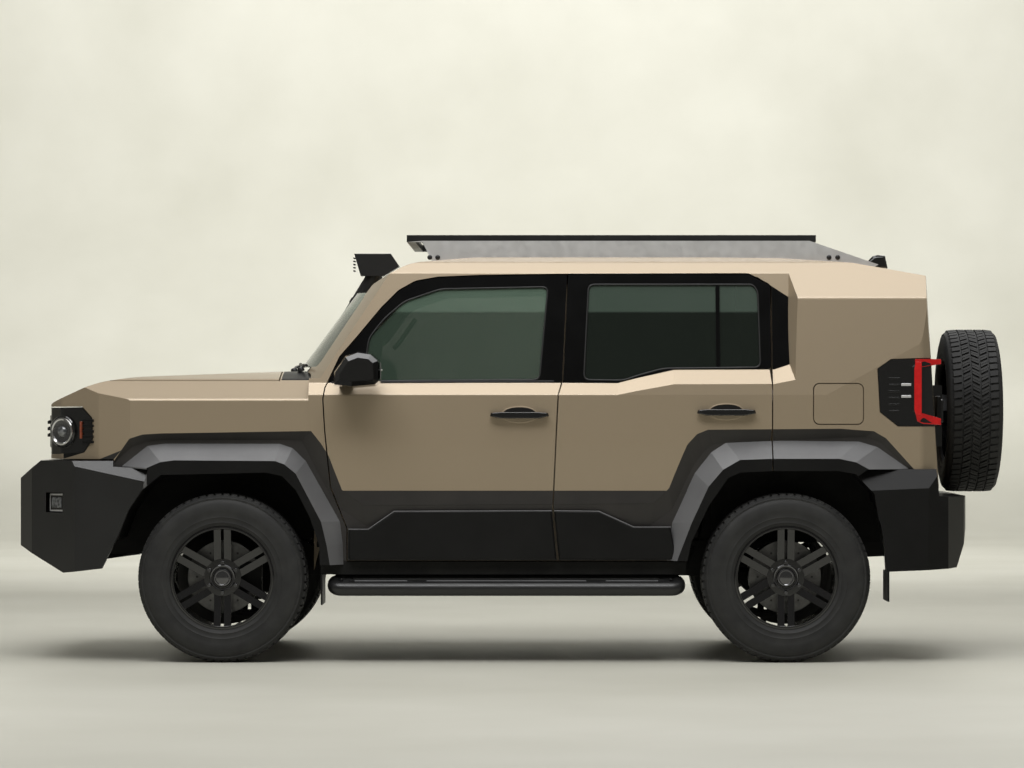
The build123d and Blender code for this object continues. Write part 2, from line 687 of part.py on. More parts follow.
lamp_outline = shifted(TAIL_LAMP_OUTLINE, TAIL_X)
lamp_inner_y = BODY_HALF_WIDTH - 143
lamp_core = prism_z(plan_outline(TAIL_LAMP_DEPTH), 0, 2000)
tail_lamp = (cabin & prism_y(lamp_outline, lamp_inner_y, FAR)) - lamp_core
keep("tail_lamps", both_sides(tail_lamp))
tail_lamp_room = prism_y(inset(lamp_outline, -3), lamp_inner_y - 3, FAR) - lamp_core

shell = cabin - cabin_inside - doorways() - gate_hole() - rear_well - front_well
shell = shell - prism_x(both_halves(SCREEN_OUTLINE), 400, COWL_X + 340)
shell = shell - slab(-FAR, REAR_AXLE_X - 380, -FAR, FAR, 0, CARGO_FLOOR_Z + 5)
shell = shell - slab(-FAR, FAR, -FAR, FAR, 0, SILL_Z)
roof_half = BODY_HALF_WIDTH - 290
roof_cut = prism_z([(465, -roof_half), (465, roof_half), (TAIL_X + 88, roof_half), (TAIL_X + 88, -roof_half)],
                   ROOF_Z - 101, 2000)
keep("roof_panel", shell & roof_cut)
shell = shell - roof_cut - both_sides(tail_lamp_room)
shell = shell - prism_y(inset(FLAP_OUTLINE, -5), FLAP_Y - PANEL_GAP, SIDE_OUTER_Y)
shell = shell - prism_y(inset(FLAP_OUTLINE, 20), FLAP_Y - 60, SIDE_OUTER_Y)
TUNNEL_HALF = 420
shell = shell - slab(POST_X + 5, POST_X - FIREWALL_T - 5, -TUNNEL_HALF, TUNNEL_HALF, 0, FLOOR_Z - SHEET_T)
# Behind each front wheel the firewall steps back around the tyre, to a liner.
liner = wheel_well(FRONT_OPENING, FRONT_AXLE_X, BODY_HALF_WIDTH - 452 - LINER_T, LINER_T) - front_well
liner = liner & slab(POST_X - 90, POST_X, -FAR, FAR, SILL_Z, 700)
liner = (liner & cabin_form(GLASS_SECTION, PANEL_GAP + PILLAR_T - 10)) - slab(0, FAR, -445, 445, 0, FLOOR_Z - SHEET_T)
shell = shell + liner + hinge_pads() + flap_seat()
keep("body_shell", shell)
keep("fuel_flap", cabin & prism_y(FLAP_OUTLINE, FLAP_Y, SIDE_OUTER_Y))

screen_room = slab(300, COWL_X + 340, -FAR, FAR, 1300, 1800)
screen = (screen_bar(GLASS_SETBACK) - screen_bar(2 * GLASS_SETBACK)) & screen_room
keep("windscreen", screen & prism_x(inset(both_halves(SCREEN_OUTLINE), SEAT_GAP), 300, COWL_X + 340))

# Floor with wheelhouses
floor_half = BODY_HALF_WIDTH - DOOR_T - PANEL_GAP - PILLAR_T - 20
floor = slab(SEAT_STEP_X, POST_X - FIREWALL_T, -floor_half, floor_half, FLOOR_Z - SHEET_T, FLOOR_Z)
floor = floor + slab(SEAT_STEP_X - SHEET_T, SEAT_STEP_X, -floor_half, floor_half, FLOOR_Z - SHEET_T, CARGO_FLOOR_Z)
floor = floor + slab(TAIL_X + 170, SEAT_STEP_X, -floor_half, floor_half, CARGO_FLOOR_Z - SHEET_T, CARGO_FLOOR_Z)
house_outline = shifted([p for p in REAR_OPENING if p[1] >= 0], REAR_AXLE_X, AXLE_Z)
house = prism_y(inset(house_outline, -30), BODY_HALF_WIDTH - 320, floor_half)
house = house & slab(-FAR, SEAT_STEP_X, -FAR, FAR, CARGO_FLOOR_Z - 60, 2000)
floor = (floor + both_sides(house) - rear_well) & cabin_inside
keep("floor_pan", floor - liner)

# Hood on two hinges, and the cowl behind it
hood_outline = [
    (HOOD_REAR_X, -HOOD_HALF_WIDTH), (HOOD_REAR_X, HOOD_HALF_WIDTH), (NOSE_X - 290, HOOD_HALF_WIDTH),
    (NOSE_X - 100, HOOD_HALF_WIDTH - 135), (NOSE_X + 40, HOOD_HALF_WIDTH - 175),
    (NOSE_X + 40, -HOOD_HALF_WIDTH + 175), (NOSE_X - 100, -HOOD_HALF_WIDTH + 135), (NOSE_X - 290, -HOOD_HALF_WIDTH),
]
HOOD_AXIS_X = HOOD_REAR_X + 8
HOOD_AXIS_Z = 1325
HOOD_HINGE_Y = 380
HOOD_PIN_R = 4
hood = (nose - Pos(-HOOD_T, 0, -HOOD_T) * nose) & prism_z(hood_outline, LAMP_Z[1] + 8, 2000)
cowl = nose & slab(POST_X, HOOD_REAR_X - 12, -HOOD_HALF_WIDTH, HOOD_HALF_WIDTH, 1240, 2000)
cowl = cowl - slab(0, FAR, -HOOD_HALF_WIDTH + 30, HOOD_HALF_WIDTH - 30, 0, 1285) - cabin
for y in (HOOD_HINGE_Y, -HOOD_HINGE_Y):
    hood = hood - slab(0, HOOD_AXIS_X + 13, y - 14, y + 14, 1200, 1400)
    hood = hood - Pos(HOOD_AXIS_X, y, HOOD_AXIS_Z) * Rot(90, 0, 0) * Cylinder(HOOD_PIN_R + SEAT_GAP, 60)
    cowl = cowl + slab(HOOD_REAR_X - 30, HOOD_AXIS_X, y - 8, y + 8, 1290, HOOD_AXIS_Z + 6)
    cowl = cowl + axle_disc(HOOD_AXIS_X, y - 8, y + 8, HOOD_AXIS_Z, 6)
    cowl = cowl + Pos(HOOD_AXIS_X, y, HOOD_AXIS_Z) * Rot(90, 0, 0) * Cylinder(HOOD_PIN_R, 56)
keep("hood", hood)
keep("cowl_panel", cowl)

# Headlamps, grille and front fenders
lamp_side = shifted(LAMP_OUTLINE, NOSE_X)
lamp_back = prism_z(plan_outline(LAMP_DEPTH), 0, 2000)
lamp = (nose & prism_y(lamp_side, LAMP_INNER_Y, FAR)) - lamp_back
keep("headlamps", both_sides(lamp))
lamp_room = prism_y(inset(lamp_side, [-4, -4, -4, -4, -SEAT_GAP, -4, -4]), LAMP_INNER_Y - 4, FAR)
GRILLE_HALF = LAMP_INNER_Y - 4
GRILLE_FRAME = 40
grille = nose & slab(NOSE_X - 70, FAR, -GRILLE_HALF, GRILLE_HALF, *LAMP_Z)
grille = grille - slab(NOSE_X - 40, FAR, -GRILLE_HALF + GRILLE_FRAME, GRILLE_HALF - GRILLE_FRAME, LAMP_Z[0] + 30,
                       LAMP_Z[1] - 40)
SLAT_HALF = GRILLE_HALF - GRILLE_FRAME
for z in (1096, 1066, 1036):
    grille = grille + slab(NOSE_X - 45, NOSE_X + 45, -SLAT_HALF, SLAT_HALF, z - 7, z + 7)
keep("grille", grille)
fenders = nose - slab(POST_X + 30, NOSE_X + 200, -398, 398, 500, 2000)
fenders = fenders - (nose_in & slab(POST_X + 30, NOSE_X - 90, -FAR, FAR, AXLE_Z + 540, 2000))
fenders = fenders - prism_z(inset(hood_outline, -PANEL_GAP), LAMP_Z[1] + 2, 2000)
fenders = fenders - slab(POST_X, HOOD_REAR_X - 12, -HOOD_HALF_WIDTH, HOOD_HALF_WIDTH, 1240, 2000)
fenders = fenders - both_sides(lamp_room) - front_well
fenders = fenders - slab(NOSE_X - 75, FAR, -LAMP_INNER_Y, LAMP_INNER_Y, LAMP_Z[0] - SEAT_GAP, LAMP_Z[1] + 2)
fenders = fenders - both_sides(prism_y(inset(front_outline, -PANEL_GAP), DOOR_INNER_Y, SIDE_OUTER_Y))
keep("front_fenders", fenders)

# Bumpers: plan and side outlines, and a cross-section that leans in at the top
FRONT_BUMPER_PLAN = [
    (HALF_LENGTH, BODY_HALF_WIDTH - 370), (HALF_LENGTH - 67, BODY_HALF_WIDTH - 250),
    (NOSE_X - 140, BODY_HALF_WIDTH - 10), (FRONT_AXLE_X + 300, FLARE_HALF_WIDTH - 3),
]
FRONT_BUMPER_SIDE = [
    (FRONT_AXLE_X + 550, 430), (FRONT_AXLE_X + 735, 408), (HALF_LENGTH, 525), (HALF_LENGTH, 838),
    (HALF_LENGTH - 115, 922), (FRONT_AXLE_X + 500, 922), (FRONT_AXLE_X + 499, 896), (FRONT_AXLE_X + 335, 884),
    (FRONT_AXLE_X + 364, AXLE_Z + 402), (FRONT_AXLE_X + 425, AXLE_Z + 311), (FRONT_AXLE_X + 467, AXLE_Z + 207),
]
FOG_LAMP_X = (HALF_LENGTH - 230, HALF_LENGTH - 142)
FOG_LAMP_Z = (683, 775)
FOG_LAMP_DEPTH = 28
BUMPER_TOP_Z = 925


def bumper_section(crease_z, lean):
    """Half-width against height: upright up to the crease, then leaning in."""
    wide = FLARE_HALF_WIDTH
    return prism_x(both_halves([(0, 300), (wide, 300), (wide, crease_z), (wide - lean, BUMPER_TOP_Z),
                                (0, BUMPER_TOP_Z)]), -FAR, FAR)


def make_front_bumper():
    plan = FRONT_BUMPER_PLAN + [(x, -y) for x, y in reversed(FRONT_BUMPER_PLAN)]
    hollow = inset(plan, [70, 70, BUMPER_T, 0, BUMPER_T, 70, 70, 70])
    bumper = prism_z(plan, 400, BUMPER_TOP_Z) & prism_y(FRONT_BUMPER_SIDE, -FAR / 2, FAR / 2)
    bumper = bumper & bumper_section(812, 63)
    bumper = bumper - prism_z(hollow, 300, 850) - nose
    bumper = bumper - slab(HALF_LENGTH - 40, FAR, -380, 380, 560, 760)
    skin = prism_z(plan, *FOG_LAMP_Z) - prism_z(inset(plan, FOG_LAMP_DEPTH), 0, 2000)
    recess = skin & slab(*FOG_LAMP_X, 500, FAR, *FOG_LAMP_Z)
    keep("front_bumper", bumper - both_sides(recess))


make_front_bumper()
REAR_BUMPER_PLAN = [
    (REAR_AXLE_X - 316, BODY_HALF_WIDTH - 290), (REAR_AXLE_X - 316, FLARE_HALF_WIDTH - 5),
    (TAIL_X + 43, FLARE_HALF_WIDTH - 12), (TAIL_X - 52, BODY_HALF_WIDTH - 40), (TAIL_X - 145, BODY_HALF_WIDTH - 250),
    (TAIL_X - 172, BODY_HALF_WIDTH - 440),
]
REAR_BUMPER_SIDE = [
    (REAR_AXLE_X - 316, 845), (REAR_AXLE_X - 403, 710), (REAR_AXLE_X - 431, 626), (REAR_AXLE_X - 449, 520),
    (REAR_AXLE_X - 455, 416), (TAIL_X - 102, 430), (TAIL_X - 172, 600), (TAIL_X - 172, 753), (TAIL_X - 7, 760),
    (TAIL_X + 5, 884), (REAR_AXLE_X - 370, 884),
]


def make_rear_bumper():
    plan = REAR_BUMPER_PLAN + [(x, -y) for x, y in reversed(REAR_BUMPER_PLAN)]
    inner = [(x + 60, y - 70) for x, y in REAR_BUMPER_PLAN[1:]]
    inner = [(0, inner[0][1])] + inner
    hollow = inner + [(x, -y) for x, y in reversed(inner)]
    bumper = prism_z(plan, 400, 900) & prism_y(REAR_BUMPER_SIDE, -FAR / 2, FAR / 2)
    bumper = bumper & bumper_section(774, 75)
    bumper = bumper - prism_z(hollow, 300, 705)
    body_above = cabin & slab(-FAR, FAR, -FAR, FAR, CARGO_FLOOR_Z + 2, 2000)
    body_ahead = cabin & slab(REAR_AXLE_X - 386, 0, -FAR, FAR, 300, 2000)
    bumper = bumper - body_above - body_ahead
    inside = BODY_HALF_WIDTH - 130
    keep("rear_bumper", bumper - slab(TAIL_X + 150, 0, -inside, inside, 705, 2000) - rear_well)


make_rear_bumper()


# Arch flares, split where the rear doors end

def flare(edge, crease, opening, axle_x):
    outer = loft_y([(shifted(edge, axle_x, AXLE_Z), TUCK_Y - 20), (shifted(crease, axle_x, AXLE_Z), FLARE_HALF_WIDTH)])
    return outer - prism_y(shifted(opening, axle_x, AXLE_Z), TUCK_Y - 60, SIDE_OUTER_Y)


front_flare = flare(FRONT_FLARE_EDGE, FRONT_FLARE_CREASE, FRONT_OPENING, FRONT_AXLE_X) - nose - cabin
front_flare = front_flare - slab(FRONT_AXLE_X + 495, FAR, 0, FAR, 0, 2000)
front_flare = front_flare - prism_y(FRONT_BUMPER_SIDE, 0, FAR)
rear_flare = flare(REAR_FLARE_EDGE, REAR_FLARE_CREASE, REAR_OPENING, REAR_AXLE_X) - cabin
body_flare = rear_flare & slab(-FAR, C_LINE_X - PANEL_GAP, 0, FAR, 0, 2000)
body_flare = body_flare - prism_y(REAR_BUMPER_SIDE, 0, FAR)
keep("arch_flares", both_sides(front_flare + body_flare))
keep_pair("door_flare", rear_flare & slab(C_LINE_X, 0, 0, FAR, DOOR_BOTTOM_Z, 2000))

# Wheels: rings with flat facets about the Y axis
RIM_R = RIM_DIAMETER / 2
TYRE_R = TYRE_DIAMETER / 2
TYRE_STAGES = [
    (RIM_R + 4, -116), (RIM_R + 74, -TYRE_WIDTH / 2), (TYRE_R, -104), (TYRE_R, 104), (RIM_R + 74, TYRE_WIDTH / 2),
    (RIM_R + 4, 116),
]
BARREL_HALF = 112
BARREL_T = 14
SPOKE_PAIRS = 6
SPOKE_OFFSET = 23
SPOKE_HALF = 16


def stages_loft(stages):
    return loft_y([(polygon(radius, ROUND_SIDES), y) for radius, y in stages])


def wheel_tyre():
    return stages_loft(TYRE_STAGES) - prism_y(polygon(RIM_R, ROUND_SIDES), -200, 200)


def wheel_rim():
    """A barrel, a hub and six pairs of spokes that rise from the hub to the outer lip."""
    barrel = prism_y(polygon(RIM_R - 0.2, ROUND_SIDES), -BARREL_HALF, BARREL_HALF)
    barrel = barrel - prism_y(polygon(RIM_R - BARREL_T, ROUND_SIDES), -200, 200)
    rim = barrel + prism_y(polygon(84, SMALL_SIDES), 30, 74)
    for pair in range(SPOKE_PAIRS):
        for offset in (-SPOKE_OFFSET, SPOKE_OFFSET):
            low = offset - SPOKE_HALF
            high = offset + SPOKE_HALF
            hub_end = [(34, low), (66, low), (66, high), (34, high)]
            lip_end = [(58, low), (96, low), (96, high), (58, high)]
            spoke = loft_x([(hub_end, 50), (lip_end, RIM_R - BARREL_T / 2)])
            rim = rim + Rot(0, 360 / SPOKE_PAIRS * pair + 30, 0) * spoke
    return rim


tyre = wheel_tyre()
rim = wheel_rim()
WHEELS = {
    "front_left": (FRONT_AXLE_X, WHEEL_Y), "front_right": (FRONT_AXLE_X, -WHEEL_Y),
    "rear_left": (REAR_AXLE_X, WHEEL_Y), "rear_right": (REAR_AXLE_X, -WHEEL_Y),
}
for name, (x, y) in WHEELS.items():
    keep(f"tyre_{name}", Pos(x, y, AXLE_Z) * (tyre if y > 0 else mirrored(tyre)))
    keep(f"rim_{name}", Pos(x, y, AXLE_Z) * (rim if y > 0 else mirrored(rim)))

# Spare wheel on its carrier, outside the tailgate
SPARE_X = -HALF_LENGTH + TYRE_WIDTH / 2
SPARE_Z = 1151.5
spare_place = Pos(SPARE_X, 0, SPARE_Z) * Rot(0, 0, 90)
keep("spare_tyre", spare_place * tyre)
keep("spare_rim", spare_place * rim)
carrier = Pos(SPARE_X + 65, 0, SPARE_Z) * Rot(0, 90, 0) * Rot(0, 0, 22.5) * extrude(
    make_face(Polyline(*polygon(70, 8), close=True)), amount=95, both=True)
carrier = carrier + slab(TAIL_X - 85, TAIL_X - 30, -230, 230, SPARE_Z - 170, SPARE_Z + 120)
carrier = carrier + slab(TAIL_X - 60, TAIL_X - 30, -560, -200, SPARE_Z - 120, SPARE_Z + 60)
keep("spare_carrier", carrier - gate - spare_place * rim)

# Steering knuckles with brakes
hub = axle_disc(FRONT_AXLE_X, KING_PIN_Y - 35, WHEEL_Y + 22, AXLE_Z, 46)
hub = hub + axle_disc(FRONT_AXLE_X, WHEEL_Y - 40, WHEEL_Y - 12, AXLE_Z, 165, ROUND_SIDES)
hub = hub + slab(FRONT_AXLE_X - 28, FRONT_AXLE_X + 28, KING_PIN_Y - 30, KING_PIN_Y + 10, AXLE_Z - 130, AXLE_Z + 130)
hub = hub + slab(FRONT_AXLE_X - 175, FRONT_AXLE_X - 75, WHEEL_Y - 60, WHEEL_Y + 8, AXLE_Z - 70, AXLE_Z + 70)
keep_pair("knuckle", hub)

# Ladder frame
RAIL_SIDE = [
    (HALF_LENGTH - 70, 620), (HALF_LENGTH - 70, 480), (FRONT_AXLE_X - 210, 480), (FRONT_AXLE_X - 340, 385),
    (REAR_AXLE_X + 360, 385), (REAR_AXLE_X + 170, 560), (TAIL_X - 72, 560), (TAIL_X - 72, 690),
    (REAR_AXLE_X + 120, 690), (REAR_AXLE_X + 300, 515), (FRONT_AXLE_X - 380, 515), (FRONT_AXLE_X - 250, 620),
]
RAIL_PLAN = [
    (HALF_LENGTH - 70, 395), (FRONT_AXLE_X - 430, 395), (FRONT_AXLE_X - 560, 560), (TAIL_X - 72, 560),
    (TAIL_X - 72, 490), (FRONT_AXLE_X - 590, 490), (FRONT_AXLE_X - 460, 325), (HALF_LENGTH - 70, 325),
]
chassis = both_sides(prism_y(RAIL_SIDE, 0, 700) & prism_z(RAIL_PLAN, 300, 800))
CROSSMEMBER_HALF = 35
# x, half-length, lowest and highest point
for x, half, z0, z1 in (
    (HALF_LENGTH - 146, 390, 500, 600), (FRONT_AXLE_X + 330, 330, 485, 545), (FRONT_AXLE_X - 640, 495, 395, 455),
    (REAR_AXLE_X + 700, 495, 395, 505), (REAR_AXLE_X + 60, 495, 570, 660), (TAIL_X - 47, 495, 570, 680),
):
    chassis = chassis + slab(x - CROSSMEMBER_HALF, x + CROSSMEMBER_HALF, -half, half, z0, z1)
# Brackets that carry the lower arms
for x in (FRONT_AXLE_X - 170, FRONT_AXLE_X + 160):
    chassis = chassis + both_sides(slab(x - 22, x + 22, 330, 390, AXLE_Z - 84, 500))
keep("chassis_frame", chassis)

# Front suspension: final drive, half shafts, lower arms and their ball joints
ARM_Z = (AXLE_Z - 120, AXLE_Z - 84)
BALL_Z = (AXLE_Z - 154.3, AXLE_Z - 130.3)
SHAFT_END_Y = KING_PIN_Y - 63
drive = axle_disc(FRONT_AXLE_X, -190, 190, AXLE_Z, 90)
drive = drive + axle_disc(FRONT_AXLE_X, -SHAFT_END_Y, SHAFT_END_Y, AXLE_Z, 20, BAR_SIDES)
drive = drive + slab(FRONT_AXLE_X - 190, FRONT_AXLE_X + 190, -300, 300, ARM_Z[0], AXLE_Z - 80)
arm = prism_z([(FRONT_AXLE_X + 190, 300), (FRONT_AXLE_X + 35, KING_PIN_Y - 45), (FRONT_AXLE_X - 35, KING_PIN_Y - 45),
               (FRONT_AXLE_X - 200, 300)], *ARM_Z)
arm = arm + prism_z(polygon(26, SMALL_SIDES, FRONT_AXLE_X, KING_PIN_Y), *BALL_Z)
arm = arm + slab(FRONT_AXLE_X - 26, FRONT_AXLE_X + 26, KING_PIN_Y - 70, KING_PIN_Y, *BALL_Z)
arm = arm + slab(FRONT_AXLE_X - 26, FRONT_AXLE_X + 26, KING_PIN_Y - 100, KING_PIN_Y - 55, BALL_Z[0], AXLE_Z - 100)
keep("front_suspension", drive + both_sides(arm))

# Rear axle: tube, final drive, brakes and trailing links
axle = axle_disc(REAR_AXLE_X, -WHEEL_Y + 20, WHEEL_Y - 20, AXLE_Z, 42)
axle = axle + loft_y([(polygon(r, SMALL_SIDES, REAR_AXLE_X, AXLE_Z), y) for r, y in
                      ((60, -170), (130, -60), (130, 60), (60, 170))])
axle = axle + both_sides(axle_disc(REAR_AXLE_X, WHEEL_Y - 40, WHEEL_Y - 12, AXLE_Z, 160, ROUND_SIDES))
axle = axle + both_sides(rod((REAR_AXLE_X, 440, AXLE_Z - 10), (REAR_AXLE_X + 620, 420, 420), 28))
keep("rear_axle", axle)

# Engine and gearbox, one plain block
engine = slab(FRONT_AXLE_X - 120, FRONT_AXLE_X + 420, -230, 230, 620, 1120)
engine = engine + slab(POST_X + 40, FRONT_AXLE_X - 110, -150, 150, 400, 900)
engine = engine + slab(POST_X - 200, POST_X + 60, -120, 120, 400, FLOOR_Z - 30)
engine = engine + slab(FRONT_AXLE_X + 300, FRONT_AXLE_X + 360, -60, 60, 545 + SEAT_GAP, 625)
keep("engine", engine)
keep("fuel_tank", slab(REAR_AXLE_X + 760, REAR_AXLE_X + 1185, -490, -170, 330, 515))

# Side steps: a tube looped round at both ends, with three treads, on brackets from the frame
STEP_FRONT_X = FRONT_AXLE_X - 535
STEP_REAR_X = REAR_AXLE_X + 515
STEP_OUTER = (BODY_HALF_WIDTH + 3, 338, 30)
STEP_INNER = (BODY_HALF_WIDTH - 80, 370, 25)
STEP_END = 62
STEP_BEND = 22
STEP_TREAD_T = 12


def side_step():
    outer_y, outer_z, outer_r = STEP_OUTER
    inner_y, inner_z, inner_r = STEP_INNER
    step = rod((STEP_REAR_X + STEP_END, outer_y, outer_z), (STEP_FRONT_X - STEP_END, outer_y, outer_z), outer_r)
    step = step + rod((STEP_REAR_X + STEP_END, inner_y, inner_z), (STEP_FRONT_X - STEP_END, inner_y, inner_z), inner_r)
    middle = ((outer_y + inner_y) / 2, (outer_z + inner_z) / 2)
    for x, way in ((STEP_FRONT_X, -1), (STEP_REAR_X, 1)):
        for y, z in (STEP_OUTER[:2], STEP_INNER[:2]):
            step = step + rod((x + way * (STEP_END + 8), y, z), (x + way * STEP_BEND, *middle), inner_r)
    length = STEP_FRONT_X - STEP_REAR_X
    for centre, half in ((0.13, 0.09), (0.5, 0.24), (0.87, 0.09)):
        x = STEP_REAR_X + length * centre
        tread = [(outer_y, outer_z), (outer_y, outer_z + STEP_TREAD_T), (inner_y, inner_z + STEP_TREAD_T),
                 (inner_y, inner_z)]
        step = step + prism_x(tread, x - length * half, x + length * half)
    for x in (STEP_FRONT_X - 90, (STEP_FRONT_X + STEP_REAR_X) / 2, STEP_REAR_X + 90):
        step = step + slab(x - 30, x + 30, 565, inner_y, inner_z - 15, inner_z + 9)
        step = step + slab(x - 30, x + 30, 565, 585, inner_z - 15, 500)
    return step


keep("side_steps", both_sides(side_step()))

# Mud flaps
FLAP_SHEET = 8
front_mud = slab(FRONT_AXLE_X - 461, FRONT_AXLE_X - 461 + FLAP_SHEET, 665, FLARE_HALF_WIDTH - 9, 265, SILL_Z)
rear_mud = slab(REAR_AXLE_X - 470, REAR_AXLE_X - 470 + FLAP_SHEET, 655, FLARE_HALF_WIDTH - 22, 279, 416)
keep("mud_flaps", both_sides(front_mud + rear_mud))

# Roof rack: a flat slatted platform on two side plates
RACK_T = 32
RACK_HALF = BODY_HALF_WIDTH - 290
RACK_FRONT_X = 500
RACK_REAR_X = -1400
RACK_RAIL = 40
RACK_SLATS = 8
SLAT_PITCH = 240
rack = slab(RACK_REAR_X, RACK_FRONT_X, -RACK_HALF, RACK_HALF, RACK_Z, RACK_Z + RACK_T)
rack = rack - slab(RACK_REAR_X + RACK_RAIL, RACK_FRONT_X - RACK_RAIL, -RACK_HALF + RACK_RAIL, RACK_HALF - RACK_RAIL,
                   RACK_Z - DEEP, RACK_Z + DEEP)
for step in range(RACK_SLATS):
    x = RACK_REAR_X + 110 + step * SLAT_PITCH
    rack = rack + slab(x - 45, x + 45, -RACK_HALF + 35, RACK_HALF - 35, RACK_Z + 4, RACK_Z + RACK_T - 4)
plate_outline = [
    (RACK_FRONT_X - 70, RACK_Z + 5), (RACK_FRONT_X - 120, 1840), (RACK_REAR_X - 240, 1800),
    (RACK_REAR_X - 290, 1830), (RACK_REAR_X + 30, RACK_Z + 5),
]
side_plate = prism_y(plate_outline, RACK_HALF - 2, RACK_HALF + 10) - cabin
keep("roof_rack", rack + both_sides(side_plate))

# Snorkel on the far windscreen pillar, with its intake head
SNORKEL_Y = -790
head = [(807, 1931), (625, 1931), (582, 1868), (660, 1821), (775, 1821)]
snorkel = prism_y(head, SNORKEL_Y - 45, SNORKEL_Y + 50)
snorkel = snorkel + rod((700, SNORKEL_Y, 1835), (1010, SNORKEL_Y - 72, 1330), 38)
snorkel = snorkel + rod((1008, SNORKEL_Y - 72, 1350), (1012, SNORKEL_Y - 135, 1180), 38)
snorkel = snorkel + slab(960, 1180, SNORKEL_Y - 135, SNORKEL_Y - 90, 1100, 1200)
keep("snorkel", snorkel - nose - cabin)

# Mirrors: a tapered head on a foot at the front of the door
mirror_outline = [
    (822, 1264), (817, 1328), (767, 1401), (708, 1423), (645, 1414), (608, 1382), (604, 1283), (626, 1264),
    (735, 1255),
]
mirror_inner_y = BODY_HALF_WIDTH + 40
head = loft_y([(inset(mirror_outline, 12), mirror_inner_y), (mirror_outline, mirror_inner_y + 50),
               (inset(mirror_outline, 8), mirror_inner_y + 130), (inset(mirror_outline, 30), mirror_inner_y + 160)])
foot = slab(735, 800, BODY_HALF_WIDTH - 28, mirror_inner_y + 20, 1262, 1300)
keep_pair("mirror", head + (foot - cabin))

# Seats, dashboard and steering wheel
SEAT_Y = 370
seat = slab(-140, 340, SEAT_Y - 250, SEAT_Y + 250, 720, 850)
seat = seat + prism_y([(-80, 800), (-300, 1420), (-190, 1430), (60, 850)], SEAT_Y - 240, SEAT_Y + 240)
seat = seat + prism_y([(-285, 1460), (-300, 1620), (-220, 1620), (-195, 1460)], SEAT_Y - 130, SEAT_Y + 130)
seat = seat + slab(-80, 300, SEAT_Y - 200, SEAT_Y + 200, FLOOR_Z, 725)
seat = seat + slab(-262, -222, SEAT_Y - 60, SEAT_Y + 60, 1415, 1470)
keep("front_seats", both_sides(seat))
bench = slab(-900, -440, -640, 640, 800, 920)
bench = bench + prism_y([(-820, 900), (-1020, 1450), (-930, 1460), (-700, 920)], -640, 640)
keep("rear_seat", bench + slab(-860, -500, -560, 560, FLOOR_Z, 805))
dash = prism_y([(POST_X - 31, 900), (POST_X - 31, 1285), (560, 1230), (540, 1100), (640, 900)], -735, 735)
keep("dashboard", dash & cabin_inside)
STEERING_R = 195
STEERING_GRIP = 30
wheel_centre = (440, SEAT_Y, 1080)
grip = extrude(make_face(Polyline(*polygon(STEERING_R, 20), close=True)), amount=STEERING_GRIP / 2, both=True)
hollow = extrude(make_face(Polyline(*polygon(STEERING_R - STEERING_GRIP, 20), close=True)), amount=50, both=True)
steering = (grip - hollow) + Box(40, 2 * STEERING_R - STEERING_GRIP, 20)
steering = Pos(*wheel_centre) * Rot(0, 65, 0) * (steering + Box(80, 80, 40))
keep("steering_wheel", steering + rod(wheel_centre, (548, SEAT_Y, 1131), 20) - dash)
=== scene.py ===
"""Looks for the lifted off-road 4x4: materials, tyres, lamps, trim, seats and the studio around it.

Metres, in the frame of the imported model: +X forward, +Y the vehicle's left, +Z up. Everything that is
drawn for the left side is made for the right side too, mirrored in Y.
"""
from math import cos, hypot, pi, radians, sin

import bmesh
import bpy
from mathutils import Matrix, Vector


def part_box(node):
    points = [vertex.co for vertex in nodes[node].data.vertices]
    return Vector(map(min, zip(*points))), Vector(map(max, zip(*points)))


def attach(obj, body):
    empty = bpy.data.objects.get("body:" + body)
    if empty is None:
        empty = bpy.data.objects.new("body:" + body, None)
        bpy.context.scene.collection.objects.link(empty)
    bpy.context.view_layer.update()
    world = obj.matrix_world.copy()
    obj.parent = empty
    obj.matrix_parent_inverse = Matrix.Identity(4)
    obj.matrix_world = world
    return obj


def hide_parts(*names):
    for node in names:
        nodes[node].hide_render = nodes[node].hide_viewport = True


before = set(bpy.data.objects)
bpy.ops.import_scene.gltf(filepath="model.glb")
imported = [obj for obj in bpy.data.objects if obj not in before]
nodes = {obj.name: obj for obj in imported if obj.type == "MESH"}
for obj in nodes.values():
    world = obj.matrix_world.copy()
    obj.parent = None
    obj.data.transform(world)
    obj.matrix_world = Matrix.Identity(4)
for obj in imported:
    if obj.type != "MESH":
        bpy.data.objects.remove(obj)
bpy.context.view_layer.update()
SIDES = {"left": 1, "right": -1}
WHEELS = ("front_left", "front_right", "rear_left", "rear_right")
DOORS = ("door_front_left", "door_rear_left", "door_front_right", "door_rear_right")
AXLES = (1.335, -1.245)
AXLE_Z = 0.3875

# Two (half-width, height) points of the plane that the side windows lie on
WINDOW_LOW = (0.852, 1.279)
WINDOW_HIGH = (0.736, 1.786)


# Materials

# The span of a pattern's values over which a colour or roughness changes
PATTERN_SPAN = (0.3, 0.7)


def shader_of(made):
    return made.node_tree.nodes["Principled BSDF"]


def material(label, colour=None, **sockets):
    """A Principled material. Sockets are given by name, with _ for a space."""
    made = bpy.data.materials.new(label)
    made.use_nodes = True
    if colour:
        shader_of(made).inputs["Base Color"].default_value = (*colour, 1)
    for key, value in sockets.items():
        shader_of(made).inputs[key.replace("_", " ")].default_value = value
    return made


def add_node(made, kind, **values):
    node = made.node_tree.nodes.new(kind)
    for key, value in values.items():
        if key in node.inputs:
            node.inputs[key].default_value = value
        else:
            setattr(node, key, value)
    return node


def link(made, source, output, target, socket):
    made.node_tree.links.new(source.outputs[output], target.inputs[socket])


def object_place(made):
    for node in made.node_tree.nodes:
        if node.type == "TEX_COORD":
            return node
    return add_node(made, "ShaderNodeTexCoord")


def grey(value):
    return (value, value, value)


